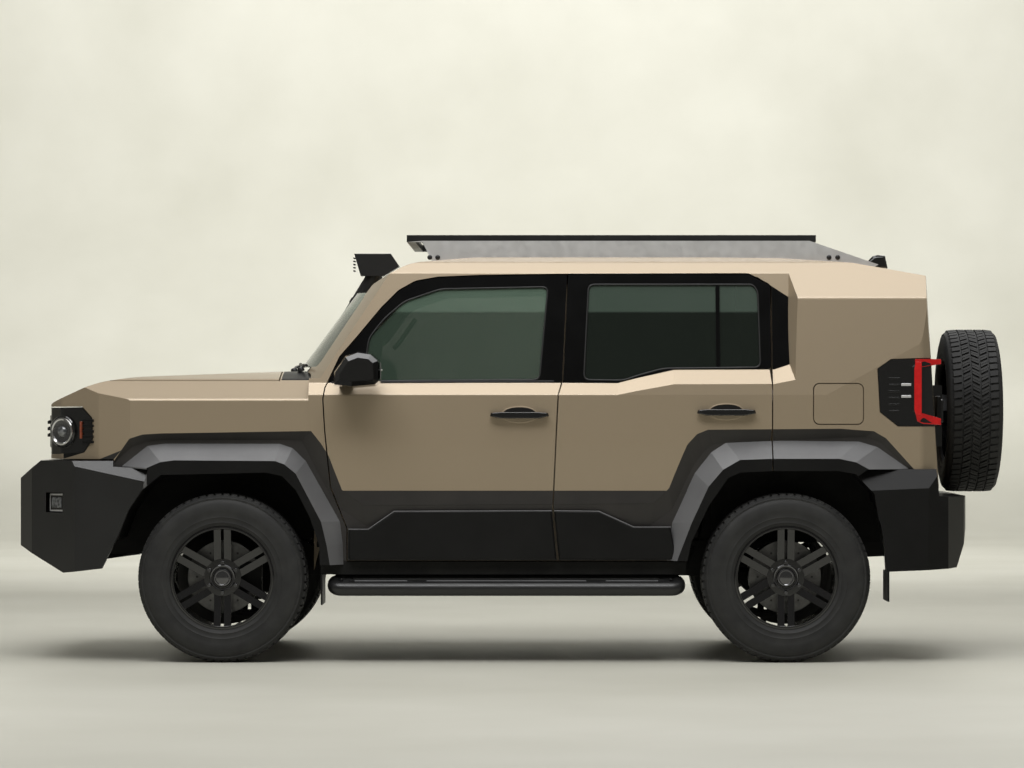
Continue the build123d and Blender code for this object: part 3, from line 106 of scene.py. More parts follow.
def pattern(made, kind, scale, detail=3.0):
    """A noise or cell pattern in the object's own metres. Returns the node and its value output."""
    if kind == "noise":
        node = add_node(made, "ShaderNodeTexNoise", Scale=scale, Detail=detail)
        output = "Fac"
    else:
        node = add_node(made, "ShaderNodeTexVoronoi", Scale=scale)
        output = "Distance"
    link(made, object_place(made), "Object", node, "Vector")
    return node, output


def vary_colour(made, dark, light, kind, scale, detail=3.0):
    """Base colour that wanders between two colours."""
    node, output = pattern(made, kind, scale, detail)
    ramp = add_node(made, "ShaderNodeValToRGB")
    for stop, place, colour in zip(ramp.color_ramp.elements, PATTERN_SPAN, (dark, light)):
        stop.position = place
        stop.color = (*colour, 1)
    link(made, node, output, ramp, "Fac")
    link(made, ramp, "Color", shader_of(made), "Base Color")


def vary_roughness(made, low, high, scale):
    """Roughness that wanders between two values."""
    node, output = pattern(made, "noise", scale)
    ends = dict(zip(("From Min", "From Max", "To Min", "To Max"), (*PATTERN_SPAN, low, high)))
    span = add_node(made, "ShaderNodeMapRange", **ends)
    link(made, node, output, span, "Value")
    link(made, span, "Result", shader_of(made), "Roughness")


def add_bump(made, kind, scale, depth):
    """Bumps of the given depth in metres."""
    node, output = pattern(made, kind, scale)
    bump = add_node(made, "ShaderNodeBump", Strength=1.0, Distance=depth)
    link(made, node, output, bump, "Height")
    link(made, bump, "Normal", shader_of(made), "Normal")


def height_tint_and_painted_light(made, z0, z1, low, high):
    """Multiplies the colour by a tint from height z0 to z1: painted shade on the body paint, a painted
    reflection on the glass, the floor's and wall's tones on the stage.
    """
    links = made.node_tree.links
    split = add_node(made, "ShaderNodeSeparateXYZ")
    span = add_node(made, "ShaderNodeMapRange", interpolation_type="SMOOTHSTEP",
                    **{"From Min": z0, "From Max": z1})
    tint = add_node(made, "ShaderNodeMix", data_type="RGBA")
    mix = add_node(made, "ShaderNodeMix", data_type="RGBA", blend_type="MULTIPLY", Factor=1.0)
    tint.inputs[6].default_value = (*low, 1)
    tint.inputs[7].default_value = (*high, 1)
    link(made, object_place(made), "Object", split, "Vector")
    link(made, split, "Z", span, "Value")
    link(made, span, "Result", tint, "Factor")
    colour = shader_of(made).inputs["Base Color"]
    links.new(colour.links[0].from_socket, mix.inputs[6])
    links.new(tint.outputs[2], mix.inputs[7])
    links.new(mix.outputs[2], colour)


def make_look(label, tint=None, shade=None, gloss=None, bump=None, **sockets):
    """One finish. What is None doesn't vary over the surface."""
    made = material(label, **sockets)
    if tint:
        vary_colour(made, *tint)
    if shade:
        height_tint_and_painted_light(made, *shade)
    if gloss:
        vary_roughness(made, *gloss)
    if bump:
        add_bump(made, *bump)
    return made


# tint: dark and light colour, pattern, its scale and detail. shade: two heights and the tints there.
# gloss: least and most roughness, scale. bump: pattern, scale, depth. Capitals are sockets of the shader.
looks = {
    # The paint's shade tint makes it darker towards the bottom: painted shade.
    "paint": make_look(
        "beige_paint", Roughness=0.42, Metallic=0.40,
        tint=((0.345, 0.275, 0.190), (0.390, 0.312, 0.216), "cells", 1400),
        shade=(0.45, 0.95, (0.90, 0.89, 0.88), grey(1)), bump=("noise", 260, 0.00004), Coat_Weight=0.5,
        Coat_Roughness=0.08),
    "gloss_black": make_look(
        "gloss_black", colour=grey(0.006), gloss=(0.10, 0.17, 7),
        bump=("noise", 200, 0.00003), Coat_Weight=0.7, Coat_Roughness=0.03),
    "pillar": make_look(
        "pillar_film", colour=grey(0.003), gloss=(0.28, 0.38, 9),
        bump=("noise", 600, 0.00003), Specular_IOR_Level=0.06),
    "plastic": make_look(
        "grained_plastic", Roughness=0.42, tint=(grey(0.005), grey(0.008), "noise", 5),
        bump=("cells", 700, 0.00012), Specular_IOR_Level=0.22),
    "bumper": make_look(
        "bumper_plastic", Roughness=0.36, tint=(grey(0.010), grey(0.014), "noise", 5),
        bump=("cells", 700, 0.00010)),
    # Grey plastic where light from above falls on black trim: partly the plastic's own grey, partly painted
    # light.
    "arch": make_look(
        "arch_plastic", Roughness=0.42,
        tint=((0.110, 0.110, 0.113), (0.135, 0.135, 0.138), "noise", 6), bump=("cells", 700, 0.00010)),
    "black_steel": make_look(
        "powder_coat", colour=grey(0.012), gloss=(0.30, 0.42, 12),
        bump=("noise", 900, 0.00008)),
    "underbody": make_look(
        "underbody_coat", Roughness=0.62,
        tint=(grey(0.004), (0.010, 0.010, 0.009), "noise", 9, 6), bump=("noise", 160, 0.0006),
        Specular_IOR_Level=0.2),
    "rubber": make_look(
        "tyre_rubber", Roughness=0.62,
        tint=(grey(0.020), (0.031, 0.031, 0.030), "noise", 14, 5), bump=("noise", 500, 0.00012),
        Specular_IOR_Level=0.3),
    "alloy": make_look(
        "black_alloy", colour=(0.006, 0.006, 0.007), Metallic=0.3, gloss=(0.13, 0.22, 20),
        bump=("noise", 300, 0.00003), Coat_Weight=1.0, Coat_Roughness=0.03),
    # Side glass turns lighter above 1.6 m: a painted reflection of the studio's light band.
    "glass": make_look(
        "tinted_glass", Roughness=0.02,
        tint=((0.040, 0.064, 0.046), (0.048, 0.074, 0.054), "noise", 2),
        shade=(1.600, 1.612, grey(1), (2.6, 2.5, 2.6)), Alpha=0.62),
    # Lighter above 1.6 m: a painted reflection of the studio's light band.
    "dark_glass": make_look(
        "privacy_glass", Roughness=0.02,
        tint=((0.007, 0.011, 0.008), (0.009, 0.013, 0.010), "noise", 2),
        shade=(1.600, 1.612, grey(1), (7.0, 6.6, 7.0)), Alpha=0.86),
    "silver": make_look(
        "plain_aluminium", colour=grey(0.72), Metallic=0.6, gloss=(0.32, 0.45, 30),
        bump=("noise", 700, 0.00004)),
    "chrome": make_look(
        "bright_metal", colour=grey(0.62), Metallic=1.0, gloss=(0.10, 0.18, 25)),
    "hub": make_look(
        "hub_cap", colour=(0.10, 0.10, 0.105), Metallic=0.9, gloss=(0.10, 0.18, 30),
        Coat_Weight=0.6, Coat_Roughness=0.03),
    "disc": make_look(
        "brake_steel", Roughness=0.34, Metallic=0.9,
        tint=(grey(0.10), (0.16, 0.16, 0.158), "noise", 40), bump=("noise", 300, 0.0001)),
    "red": make_look(
        "red_lens", Roughness=0.15,
        tint=((0.40, 0.005, 0.006), (0.55, 0.010, 0.010), "noise", 40), Coat_Weight=0.6,
        Coat_Roughness=0.03, Emission_Color=(0.8, 0.01, 0.01, 1), Emission_Strength=0.12),
    "amber": make_look(
        "amber_lens", Roughness=0.2,
        tint=((0.22, 0.05, 0.025), (0.30, 0.075, 0.035), "noise", 60), Coat_Weight=0.6),
    "lens": make_look(
        "clear_lens", Roughness=0.08, Metallic=0.2,
        tint=((0.06, 0.063, 0.066), (0.20, 0.205, 0.21), "cells", 60), Coat_Weight=0.9,
        Coat_Roughness=0.02),
    "bowl": make_look(
        "lamp_reflector", colour=(0.16, 0.16, 0.165), Metallic=0.9, gloss=(0.14, 0.24, 30),
        bump=("cells", 220, 0.0006)),
    "fabric": make_look(
        "seat_weave", Roughness=0.85,
        tint=((0.024, 0.024, 0.025), (0.045, 0.045, 0.046), "cells", 520), bump=("cells", 520, 0.0005),
        Sheen_Weight=0.25),
    "leather": make_look(
        "seat_leather", Roughness=0.48,
        tint=((0.016, 0.015, 0.015), (0.028, 0.027, 0.026), "noise", 18), bump=("cells", 320, 0.00035)),
    "trim": make_look(
        "cabin_trim", Roughness=0.6,
        tint=((0.028, 0.028, 0.027), (0.042, 0.042, 0.040), "noise", 10), bump=("cells", 500, 0.0002)),
    "headliner": make_look(
        "roof_lining", Roughness=0.9,
        tint=((0.10, 0.098, 0.092), (0.14, 0.138, 0.13), "cells", 700), bump=("cells", 700, 0.0003)),
    # A dark colour for the faces tucked in under the body's side: painted shade.
    "band": make_look(
        "lower_band", Roughness=0.5,
        tint=((0.018, 0.016, 0.015), (0.026, 0.023, 0.021), "noise", 6), bump=("cells", 800, 0.00008)),
    "seal": make_look(
        "rubber_seal", colour=grey(0.006), gloss=(0.42, 0.6, 60)),
}


# Mesh helpers

# Corners of a square, and the faces of a box made of that square twice
CORNERS = ((-1, -1), (1, -1), (1, 1), (-1, 1))
BOX_FACES = ((0, 1, 2, 3), (7, 6, 5, 4), (0, 4, 5, 1), (1, 5, 6, 2), (2, 6, 7, 3), (3, 7, 4, 0))


def smooth_faces(mesh):
    for face in mesh.polygons:
        face.use_smooth = True


def mesh_of(name, work):
    """Ends work on a bmesh and returns it as a mesh."""
    mesh = bpy.data.meshes.new(name)
    work.to_mesh(mesh)
    work.free()
    return mesh


def outwards(mesh_data):
    """Turns a closed mesh's faces outwards."""
    work = bmesh.new()
    work.from_mesh(mesh_data)
    bmesh.ops.recalc_face_normals(work, faces=work.faces)
    work.to_mesh(mesh_data)
    work.free()


def dress(name, mesh, look, body, smooth=False, place=None):
    """Puts a mesh in the scene with a material, riding on a body."""
    piece = bpy.data.objects.new(name, mesh)
    bpy.context.scene.collection.objects.link(piece)
    if place is not None:
        piece.matrix_world = place
    if not mesh.materials:
        mesh.materials.append(looks[look])
    if smooth:
        smooth_faces(mesh)
    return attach(piece, body)


def new_piece(name, verts, faces, look, body, bevel=0.0, place=None):
    """A closed piece from points and faces."""
    mesh = bpy.data.meshes.new(name)
    mesh.from_pydata(verts, [], faces)
    outwards(mesh)
    piece = dress(name, mesh, look, body, place=place)
    return rounded(piece, bevel) if bevel else piece


def rounded(piece, width, segments=2, angle=30):
    """Bevels a piece's sharp edges."""
    cut = piece.modifiers.new("edges", "BEVEL")
    cut.width = width
    cut.segments = segments
    cut.limit_method = "ANGLE"
    cut.angle_limit = radians(angle)
    cut.harden_normals = True
    smooth_faces(piece.data)
    return piece


def ring_faces(count, levels):
    """Faces of a closed form through rings of count points, with a lid at each end."""
    last = (levels - 1) * count
    faces = [tuple(range(count)), tuple(range(last + count - 1, last - 1, -1))]
    for low in range(0, last, count):
        for i in range(count):
            j = (i + 1) % count
            faces.append((low + i, low + j, low + j + count, low + i + count))
    return faces


def prism(name, outline, y0, y1, look, body, bevel=0.0, shift=lambda x, z: 0):
    """A plate between y0 and y1 from an outline of (x, z) points. shift(x, z) adds to y."""
    verts = [(x, y + shift(x, z), z) for y in (y0, y1) for x, z in outline]
    return new_piece(name, verts, ring_faces(len(outline), 2), look, body, bevel)


def lofted(name, stages, look, body, bevel=0.0):
    """A closed form through outlines of (x, z) points, each at its own y: (outline, y) pairs."""
    verts = [(x, y, z) for outline, y in stages for x, z in outline]
    return new_piece(name, verts, ring_faces(len(stages[0][0]), len(stages)), look, body, bevel)


def turned(name, profile, segments, look, body, place, closed=False):
    """A shape turned about the local Y axis from (radius, y) points."""
    work = bmesh.new()
    rings = []
    for step in range(segments):
        turn = 2 * pi * step / segments
        rings.append([work.verts.new((r * cos(turn), y, r * sin(turn))) for r, y in profile])
    for ring, following in zip(rings, rings[1:] + rings[:1]):
        for i in range(len(profile) if closed else len(profile) - 1):
            j = (i + 1) % len(profile)
            work.faces.new((ring[i], ring[j], following[j], following[i]))
    bmesh.ops.remove_doubles(work, verts=work.verts, dist=1e-6)
    bmesh.ops.recalc_face_normals(work, faces=work.faces)
    mesh = mesh_of(name, work)
    piece = dress(name, mesh, look, body, True, place)
    mesh.set_sharp_from_angle(angle=radians(35))
    return piece


def tube(name, points, radius, look, body, closed=False, resolution=4):
    """A round bar along points."""
    curve = bpy.data.curves.new(name, "CURVE")
    curve.dimensions = "3D"
    curve.bevel_depth = radius
    curve.bevel_resolution = resolution
    curve.use_fill_caps = True
    line = curve.splines.new("POLY")
    line.points.add(len(points) - 1)
    for spot, point in zip(line.points, points):
        spot.co = (*point, 1)
    line.use_cyclic_u = closed
    line.use_smooth = True
    source = bpy.data.objects.new(name + "_line", curve)
    bpy.context.scene.collection.objects.link(source)
    bpy.context.view_layer.update()
    mesh = bpy.data.meshes.new_from_object(source)
    mesh.name = name
    bpy.data.objects.remove(source)
    mesh.materials.clear()
    return dress(name, mesh, look, body, True)


def rounded_path(points, radius, steps=5):
    """A path whose corners are replaced by short curves."""
    points = [Vector(p) for p in points]
    path = [points[0]]
    for before, corner, after in zip(points, points[1:], points[2:]):
        reach = min(radius, (before - corner).length * 0.45, (after - corner).length * 0.45)
        start = corner + (before - corner).normalized() * reach
        end = corner + (after - corner).normalized() * reach
        for step in range(steps + 1):
            share = step / steps
            path.append(start.lerp(corner, share).lerp(corner.lerp(end, share), share))
    path.append(points[-1])
    return path


def soft_box(name, lo, hi, look, body, round_by, crown=0.0, place=None):
    """A box with rounded, softly crowned sides, from lo to hi in local metres."""
    work = bmesh.new()
    bmesh.ops.create_cube(work, size=1.0)
    size = [b - a for a, b in zip(lo, hi)]
    middle = [(a + b) / 2 for a, b in zip(lo, hi)]
    bmesh.ops.subdivide_edges(work, edges=work.edges[:], cuts=3, use_grid_fill=True)
    half = [s / 2 for s in size]
    for vert in work.verts:
        spot = [vert.co[i] * size[i] for i in range(3)]
        core = [max(-(half[i] - round_by), min(half[i] - round_by, spot[i])) for i in range(3)]
        away = Vector([spot[i] - core[i] for i in range(3)])
        if away.length > 1e-9:
            spot = list(Vector(core) + away.normalized() * min(round_by, away.length))
        for i in range(3):
            others = [spot[j] / half[j] for j in range(3) if j != i]
            bulge = crown * max(0, 1 - others[0] ** 2) * max(0, 1 - others[1] ** 2)
            if abs(abs(vert.co[i]) - 0.5) < 1e-6:
                spot[i] += bulge if vert.co[i] > 0 else -bulge
        vert.co = Vector([middle[i] + spot[i] for i in range(3)])
    piece = dress(name, mesh_of(name, work), look, body, True, place)
    smooth = piece.modifiers.new("smooth", "SUBSURF")
    smooth.levels = 2
    smooth.render_levels = 2
    return piece


def copied_panel(name, node, look, keep, cuts=(), lift=0.0004, thick=0.0014):
    """A thin panel over the faces of a CAD node that keep(face) picks, trimmed by planes (point, normal)."""
    work = bmesh.new()
    work.from_mesh(nodes[node].data)
    bmesh.ops.delete(work, geom=[f for f in work.faces if not keep(f)], context="FACES")
    bmesh.ops.remove_doubles(work, verts=work.verts, dist=1e-5)
    for point, normal in cuts:
        geom = work.verts[:] + work.edges[:] + work.faces[:]
        bmesh.ops.bisect_plane(work, geom=geom, plane_co=point, plane_no=normal, clear_outer=True)
    bmesh.ops.dissolve_limit(work, angle_limit=radians(1), verts=work.verts[:], edges=work.edges[:])
    normal = sum((f.normal * f.calc_area() for f in work.faces), Vector()).normalized()
    bmesh.ops.translate(work, verts=work.verts[:], vec=normal * lift)
    grown = bmesh.ops.extrude_face_region(work, geom=work.faces[:])
    top = [v for v in grown["geom"] if isinstance(v, bmesh.types.BMVert)]
    bmesh.ops.translate(work, verts=top, vec=normal * thick)
    bmesh.ops.recalc_face_normals(work, faces=work.faces)
    return dress(name, mesh_of(name, work), look, "body" if node == "body_shell" else node)


def shrunk(outline, by):
    """An outline drawn in towards its middle."""
    middle_x = sum(p[0] for p in outline) / len(outline)
    middle_z = sum(p[1] for p in outline) / len(outline)
    moved = []
    for x, z in outline:
        reach = max(hypot(x - middle_x, z - middle_z), 1e-6)
        moved.append((x - (x - middle_x) / reach * by, z - (z - middle_z) / reach * by))
    return moved


def facing(x, y, z, normal):
    """A place whose local +Y looks along normal and whose local +Z is up."""
    out = Vector(normal).normalized()
    across = out.cross(Vector((0, 0, 1))).normalized()
    up = across.cross(out)
    return Matrix.Translation((x, y, z)) @ Matrix((across, out, up)).transposed().to_4x4()


def tilted(place, angle):
    """A place turned about Y by degrees."""
    return Matrix.Translation(place) @ Matrix.Rotation(radians(angle), 4, "Y")


def plate(name, across, up, y0, y1, look, body, place, bevel=0.002):
    """A bevelled plate in a place's own frame."""
    verts = [(sx * across / 2, y, sz * up / 2) for y in (y0, y1) for sx, sz in CORNERS]
    return new_piece(name, verts, BOX_FACES, look, body, bevel, place=place)


def plates(name, spots, normal, across, up, y0, y1, look, bevel):
    """Like plates in a row. name has {} for their number."""
    for step, spot in enumerate(spots):
        plate(name.format(step), across, up, y0, y1, look, "body", facing(*spot, normal), bevel)


# CAD nodes keep their shape and get a finish

NODE_LOOKS = {
    "paint": ("body_shell", "roof_panel", "front_fenders", "hood", "tailgate", "fuel_flap", *DOORS),
    "underbody": ("chassis_frame", "floor_pan", "front_suspension", "rear_axle", "fuel_tank", "knuckle_left",
                  "knuckle_right", "engine"),
    "bumper": ("front_bumper", "snorkel"),
    "plastic": ("rear_bumper", "cowl_panel", "grille", "mud_flaps"),
    "arch": ("arch_flares", "door_flare_left", "door_flare_right"),
    "trim": ("dashboard", "rear_seat", "front_seats", "steering_wheel"),
    "black_steel": ("roof_rack", "side_steps", "spare_carrier"),
    "alloy": (*[f"rim_{wheel}" for wheel in WHEELS], "spare_rim"),
    "rubber": (*[f"tyre_{wheel}" for wheel in WHEELS], "spare_tyre"),
    "gloss_black": ("tail_lamps", "headlamps", "mirror_left", "mirror_right"),
    "glass": ("windscreen", "glass_front_left", "glass_front_right"),
    "dark_glass": ("tailgate_glass", "glass_rear_left", "glass_rear_right"),
}


def dress_nodes():
    for look, names in NODE_LOOKS.items():
        for name in names:
            materials = nodes[name].data.materials
            if not materials:
                materials.append(None)
            for i in range(len(materials)):
                materials[i] = looks[look]


def soften(names):
    """Smooth shading over the facets of round CAD parts."""
    for name in names:
        mesh = nodes[name].data
        smooth_faces(mesh)
        mesh.set_sharp_from_angle(angle=radians(40))


# Wheels

TREAD_DEPTH = 0.009
PITCHES = 66
# Shift of the inner blocks, in pitches, and half the slot between them
WOBBLE = 0.036
SIPE = 0.0011
TREAD_ROWS = (
    # y of the block's middle, half width, share of the pitch, lean, offset
    (-0.086, 0.0185, 0.70, 0.15, 0.0),
    (-0.042, 0.0165, 0.74, 0.55, 0.5),
    (0.0, 0.0165, 0.74, -0.55, 0.0),
    (0.042, 0.0165, 0.74, 0.55, 0.5),
    (0.086, 0.0185, 0.70, 0.15, 0.0),
)
BLOCK_FACES = ((4, 5, 6, 7), (0, 1, 5, 4), (1, 2, 6, 5), (2, 3, 7, 6), (3, 0, 4, 7))
# Half of the tyre's section: (depth under the tread, y), then (height over the rim, y)
SHOULDER = ((TREAD_DEPTH, 0), (TREAD_DEPTH, 0.098), (0.014, 0.113), (0.022, 0.1215), (0.029, 0.1195),
            (0.034, 0.1245), (0.050, 0.1290))
BEAD = ((0.046, 0.1270), (0.042, 0.1282), (0.038, 0.1262), (0.022, 0.1235), (0.018, 0.1248), (0.014, 0.1222),
        (0.004, 0.118), (0.001, 0.108), (0.001, 0.090))
LUG_CIRCLE = 0.0698
HUB_FACE = 0.0745
# (radius, y over the hub face), and (radius over the rim's, y) for the lip
HUB_CAP = ((0, 0.020), (0.020, 0.019), (0.030, 0.016), (0.034, 0.018), (0.039, 0.017), (0.043, 0.010),
           (0.044, -0.004))
HUB_RING = ((0.047, -0.004), (0.050, 0.006), (0.056, 0.007), (0.060, 0.001))
RIM_LIP = ((-0.014, 0.100), (-0.010, 0.1125), (-0.001, 0.1135), (0.004, 0.111), (0.004, 0.104))


def size_of(node):
    lo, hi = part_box(node)
    return hi - lo


def centre_of(node):
    lo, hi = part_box(node)
    return (lo + hi) / 2


def tyre_mesh(radius, half_width, rim_radius):
    """Tyre with ribbed sidewalls and cut tread blocks, about the local Y axis."""
    base = radius - TREAD_DEPTH
    half = [(radius - drop, y) for drop, y in (*SHOULDER, (0.070, half_width), (0.085, 0.1318))]
    half += [(rim_radius + rise, y) for rise, y in BEAD]
    profile = [(r, -y) for r, y in reversed(half) if y > 0] + half
    verts = []
    faces = []
    segments = 2 * PITCHES
    count = len(profile)
    for step in range(segments):
        turn = 2 * pi * step / segments
        verts += [(r * cos(turn), y, r * sin(turn)) for r, y in profile]
        low = step * count
        high = (step + 1) % segments * count
        faces += [(low + i, low + i + 1, high + i + 1, high + i) for i in range(count - 1)]
    wall_faces = len(faces)

    def block(turn, middle, half_y, half_turn, lean, top, low, draft, wrap=0.0):
        start = len(verts)
        for r, grow in ((low, draft), (top, 0.0)):
            for sy, st in CORNERS:
                y = middle + sy * (half_y + grow)
                drop = wrap if (abs(y) > abs(middle) and wrap) else 0
                t = turn + st * (half_turn + grow / radius) + sy * half_y * lean / radius
                verts.append(((r - drop) * cos(t), y, (r - drop) * sin(t)))
        for quad in BLOCK_FACES:
            faces.append(tuple(start + i for i in quad))

    pitch = 2 * pi / PITCHES
    for row, (middle, half_y, share, lean, offset) in enumerate(TREAD_ROWS):
        edge = row in (0, len(TREAD_ROWS) - 1)
        for step in range(PITCHES):
            turn = pitch * (step + offset)
            if edge:
                block(turn, middle, half_y, pitch * share / 2, lean, radius, base - 0.002, 0.0015, 0.0035)
                side = 1 if middle > 0 else -1
                block(turn, middle + side * (half_y + 0.0085), 0.0075, pitch * share / 2.2, lean,
                      radius - 0.008, base - 0.014, 0.001, 0.013)
            else:
                quarter = share * pitch / 4
                wobble = WOBBLE * pitch * ((step * 7) % 3 - 1)
                for part in (-1, 1):
                    block(turn + wobble + part * quarter, middle, half_y, quarter - SIPE / radius, lean,
                          radius, base - 0.001, 0.001)
    mesh = bpy.data.meshes.new("tread_tyre")
    mesh.from_pydata(verts, [], faces)
    outwards(mesh)
    for face in mesh.polygons:
        face.use_smooth = face.index < wall_faces
    mesh.set_sharp_from_angle(angle=radians(40))
    mesh.materials.append(looks["rubber"])
    return mesh


def wheel_place(name):
    """Where a wheel's own frame goes: its outer face is local +Y."""
    if name == "spare":
        return Matrix.Translation(centre_of("spare_tyre")) @ Matrix.Rotation(radians(90), 4, "Z")
    turn = 0 if name.endswith("left") else 180
    return Matrix.Translation(centre_of(f"tyre_{name}")) @ Matrix.Rotation(radians(turn), 4, "Z")


def make_wheels():
    tyre_size = size_of("tyre_front_left")
    rim_radius = size_of("rim_front_left").z / 2
    tyre = tyre_mesh(tyre_size.z / 2, tyre_size.y / 2, rim_radius)
    cap = [(r, HUB_FACE + y) for r, y in HUB_CAP]
    ring = [(r, HUB_FACE + y) for r, y in HUB_RING]
    lip = [(rim_radius + r, y) for r, y in RIM_LIP]
    for name in WHEELS + ("spare",):
        body = "tailgate" if name == "spare" else f"wheel_{name}"
        node = "spare_tyre" if name == "spare" else f"tyre_{name}"
        place = wheel_place(name)
        piece = dress(f"tread_{name}", tyre, "rubber", body, place=place)
        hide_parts(node)
        turned(f"cap_{name}", cap, 40, "hub", body, place)
        turned(f"rim_lip_{name}", lip, 96, "alloy", body, place)
        lugs = bmesh.new()
        for step in range(6):
            turn = radians(60 * step + 30)
            spot = Matrix.Translation((LUG_CIRCLE * cos(turn), HUB_FACE + 0.008, LUG_CIRCLE * sin(turn)))
            bmesh.ops.create_cone(lugs, cap_ends=True, segments=6, radius1=0.0115, radius2=0.0095,
                                  depth=0.026, matrix=spot @ Matrix.Rotation(radians(-90), 4, "X"))
        rounded(dress(f"lugs_{name}", mesh_of(f"lugs_{name}", lugs), "hub", body, place=place), 0.0012)
        turned(f"hub_ring_{name}", ring, 48, "hub", body, place)


# Black window surrounds

def on_window_plane(z):
    """Half-width of the side windows' plane at a height."""
    (y0, z0), (y1, z1) = WINDOW_LOW, WINDOW_HIGH
    return y0 + (y1 - y0) * (z - z0) / (z1 - z0)


def in_window_plane(face):
    """True for a CAD face that lies on the plane of the side windows."""
    if abs(face.normal.z) > 0.5:
        return False
    return all(abs(abs(v.co.y) - on_window_plane(v.co.z)) < 0.0006 for v in face.verts)


def make_window_surrounds():
    for door in DOORS:
        copied_panel(door.replace("door", "surround"), door, "pillar", in_window_plane)


def make_quarter_strip():
    cuts = (
        ((-1.10, 0, 0), (1, 0, 0)),
        ((-1.119, 0, 1.769), (-0.55, 0, 0.835)),
        ((0, 0, 1.769), (0, 0, 1)),
    )
    for word, sign in SIDES.items():
        keep = lambda face, sign=sign: in_window_plane(face) and face.calc_center_median().y * sign > 0
        copied_panel(f"quarter_{word}", "body_shell", "pillar", keep, cuts)


# Finishes on some faces of a CAD node only

WELL_RADIUS = 0.72
SHADE_BAND_TOP = 0.786


def outward(normal, centre):
    """How far a face looks away from the vehicle's middle plane."""
    return normal.y * (1 if centre.y > 0 else -1)


def finish_faces(names, look, test):
    """Gives the faces that test(normal, centre) picks another material."""
    for name in names:
        mesh = nodes[name].data
        mesh.materials.append(looks[look])
        for face in mesh.polygons:
            if test(face.normal, face.center):
                face.material_index = len(mesh.materials) - 1


def shaded_tuck(normal, centre):
    """The band above the arches and the cladding, which faces down and gets painted shade."""
    low = 0.44 < centre.z < 1.09 and abs(centre.y) > 0.80 and outward(normal, centre) > 0.2
    return low and (normal.z < -0.12 or (abs(abs(centre.y) - 0.856) < 0.003 and abs(normal.y) > 0.95))


def in_wheel_well(normal, centre):
    """True for faces that look back at an axle from around it."""
    on_side = abs(centre.y) > 0.80 and outward(normal, centre) > 0.2
    if on_side or centre.z > 1.0:
        return False
    for axle_x in AXLES:
        away = Vector((centre.x - axle_x, 0, centre.z - AXLE_Z))
        if away.length < WELL_RADIUS and away.normalized().dot(normal) < -0.25:
            return True
    return False


def finish_body():
    shells = ["body_shell", "front_fenders"]
    finish_faces([*DOORS, *shells], "band", shaded_tuck)
    finish_faces(DOORS, "plastic", lambda n, c: c.z < 0.64 and abs(n.y) < 0.9)
    finish_faces([*DOORS, "body_shell"], "trim", lambda n, c: outward(n, c) < -0.3)
    finish_faces(["body_shell", "roof_panel"], "headliner", lambda n, c: n.z < -0.5 and c.z > 1.5)
    finish_faces(["tailgate"], "trim", lambda n, c: n.x > 0.5)
    finish_faces(["body_shell"], "trim", lambda n, c: n.x < -0.5 and c.x > 0.85 and c.z < 1.3)
    finish_faces(shells, "underbody", in_wheel_well)
    finish_faces(shells, "underbody", lambda n, c: 0.80 < c.x < 1.05 and c.z < 0.75 and outward(n, c) < 0.5)
    finish_faces(["front_fenders"], "underbody", lambda n, c: c.z < 1.15 and n.z < 0.5 and c.x < 2.08
                 and (outward(n, c) < 0.1 or abs(c.y) < 0.75))
    finish_faces(["body_shell"], "underbody", lambda n, c: c.z < 0.47 or (n.z < -0.5 and c.z < 0.9))
    # The flares' lips and inner faces go back to black plastic; their up-facing slopes stay lit grey, partly
    # painted light.
    finish_faces(NODE_LOOKS["arch"], "plastic", lambda n, c: abs(n.y) > 0.97 or outward(n, c) < 0.05)
    finish_faces(["roof_rack"], "silver", lambda n, c: c.z < 1.94 and abs(c.y) > 0.595)
    for name in ("mirror_left", "mirror_right"):
        rounded(nodes[name], 0.014, 3, 18)
    rounded(nodes["snorkel"], 0.008, 2, 40)


def make_painted_shade_band():
    """The band of painted shade goes on upwards as dark sheets over the doors' lowest strip of body paint."""
    top = (((0, 0, SHADE_BAND_TOP), (0, 0, 1)),)
    for door in DOORS:
        sign = 1 if door.endswith("left") else -1
        keep = lambda face, sign=sign: face.normal.y * sign > 0.9 and face.normal.z > -0.12
        copied_panel(door.replace("door", "band"), door, "band", keep, top, 0.0, 0.0012)


# Shapes on the body's side

# (x, half-width) of the body's waist
PLAN = ((2.150, 0.620), (2.090, 0.715), (1.905, 0.838), (1.745, 0.890), (-1.430, 0.890), (-1.870, 0.862),
        (-1.963, 0.786))
# Outlines of (x, z) on the side
FRONT_CLADDING = ((0.757, 0.472), (0.757, 0.6075), (0.667, 0.6075), (0.548, 0.690), (-0.172, 0.692),
                  (-0.194, 0.472))
REAR_CLADDING = ((-0.206, 0.472), (-0.184, 0.692), (-0.388, 0.690), (-0.548, 0.6175), (-0.717, 0.6175),
                 (-0.742, 0.472))
FRONT_SEAL = ((0.694, 1.287), (0.668, 1.485), (0.60, 1.573), (0.506, 1.655), (0.339, 1.712), (-0.156, 1.722),
              (-0.117, 1.293))
REAR_SEAL = ((-0.319, 1.293), (-0.342, 1.733), (-1.100, 1.733), (-1.122, 1.700), (-1.130, 1.350),
             (-0.685, 1.345), (-0.564, 1.312), (-0.502, 1.290))
DIVISION = ((-0.927, 1.347), (-0.927, 1.735), (-0.945, 1.735), (-0.945, 1.347))
BELT = ((0.835, 1.279), (0.835, 1.286), (-0.182, 1.291), (-0.182, 1.284))
REAR_LINER = ((-1.70, 0.54), (-1.70, 0.83), (-1.60, 0.845), (-0.90, 0.80), (-0.87, 0.60), (-0.80, 0.42),
              (-0.98, 0.42), (-1.02, 0.54))
FRONT_LINER = ((1.78, 0.55), (1.78, 0.90), (1.00, 0.90), (0.95, 0.55))
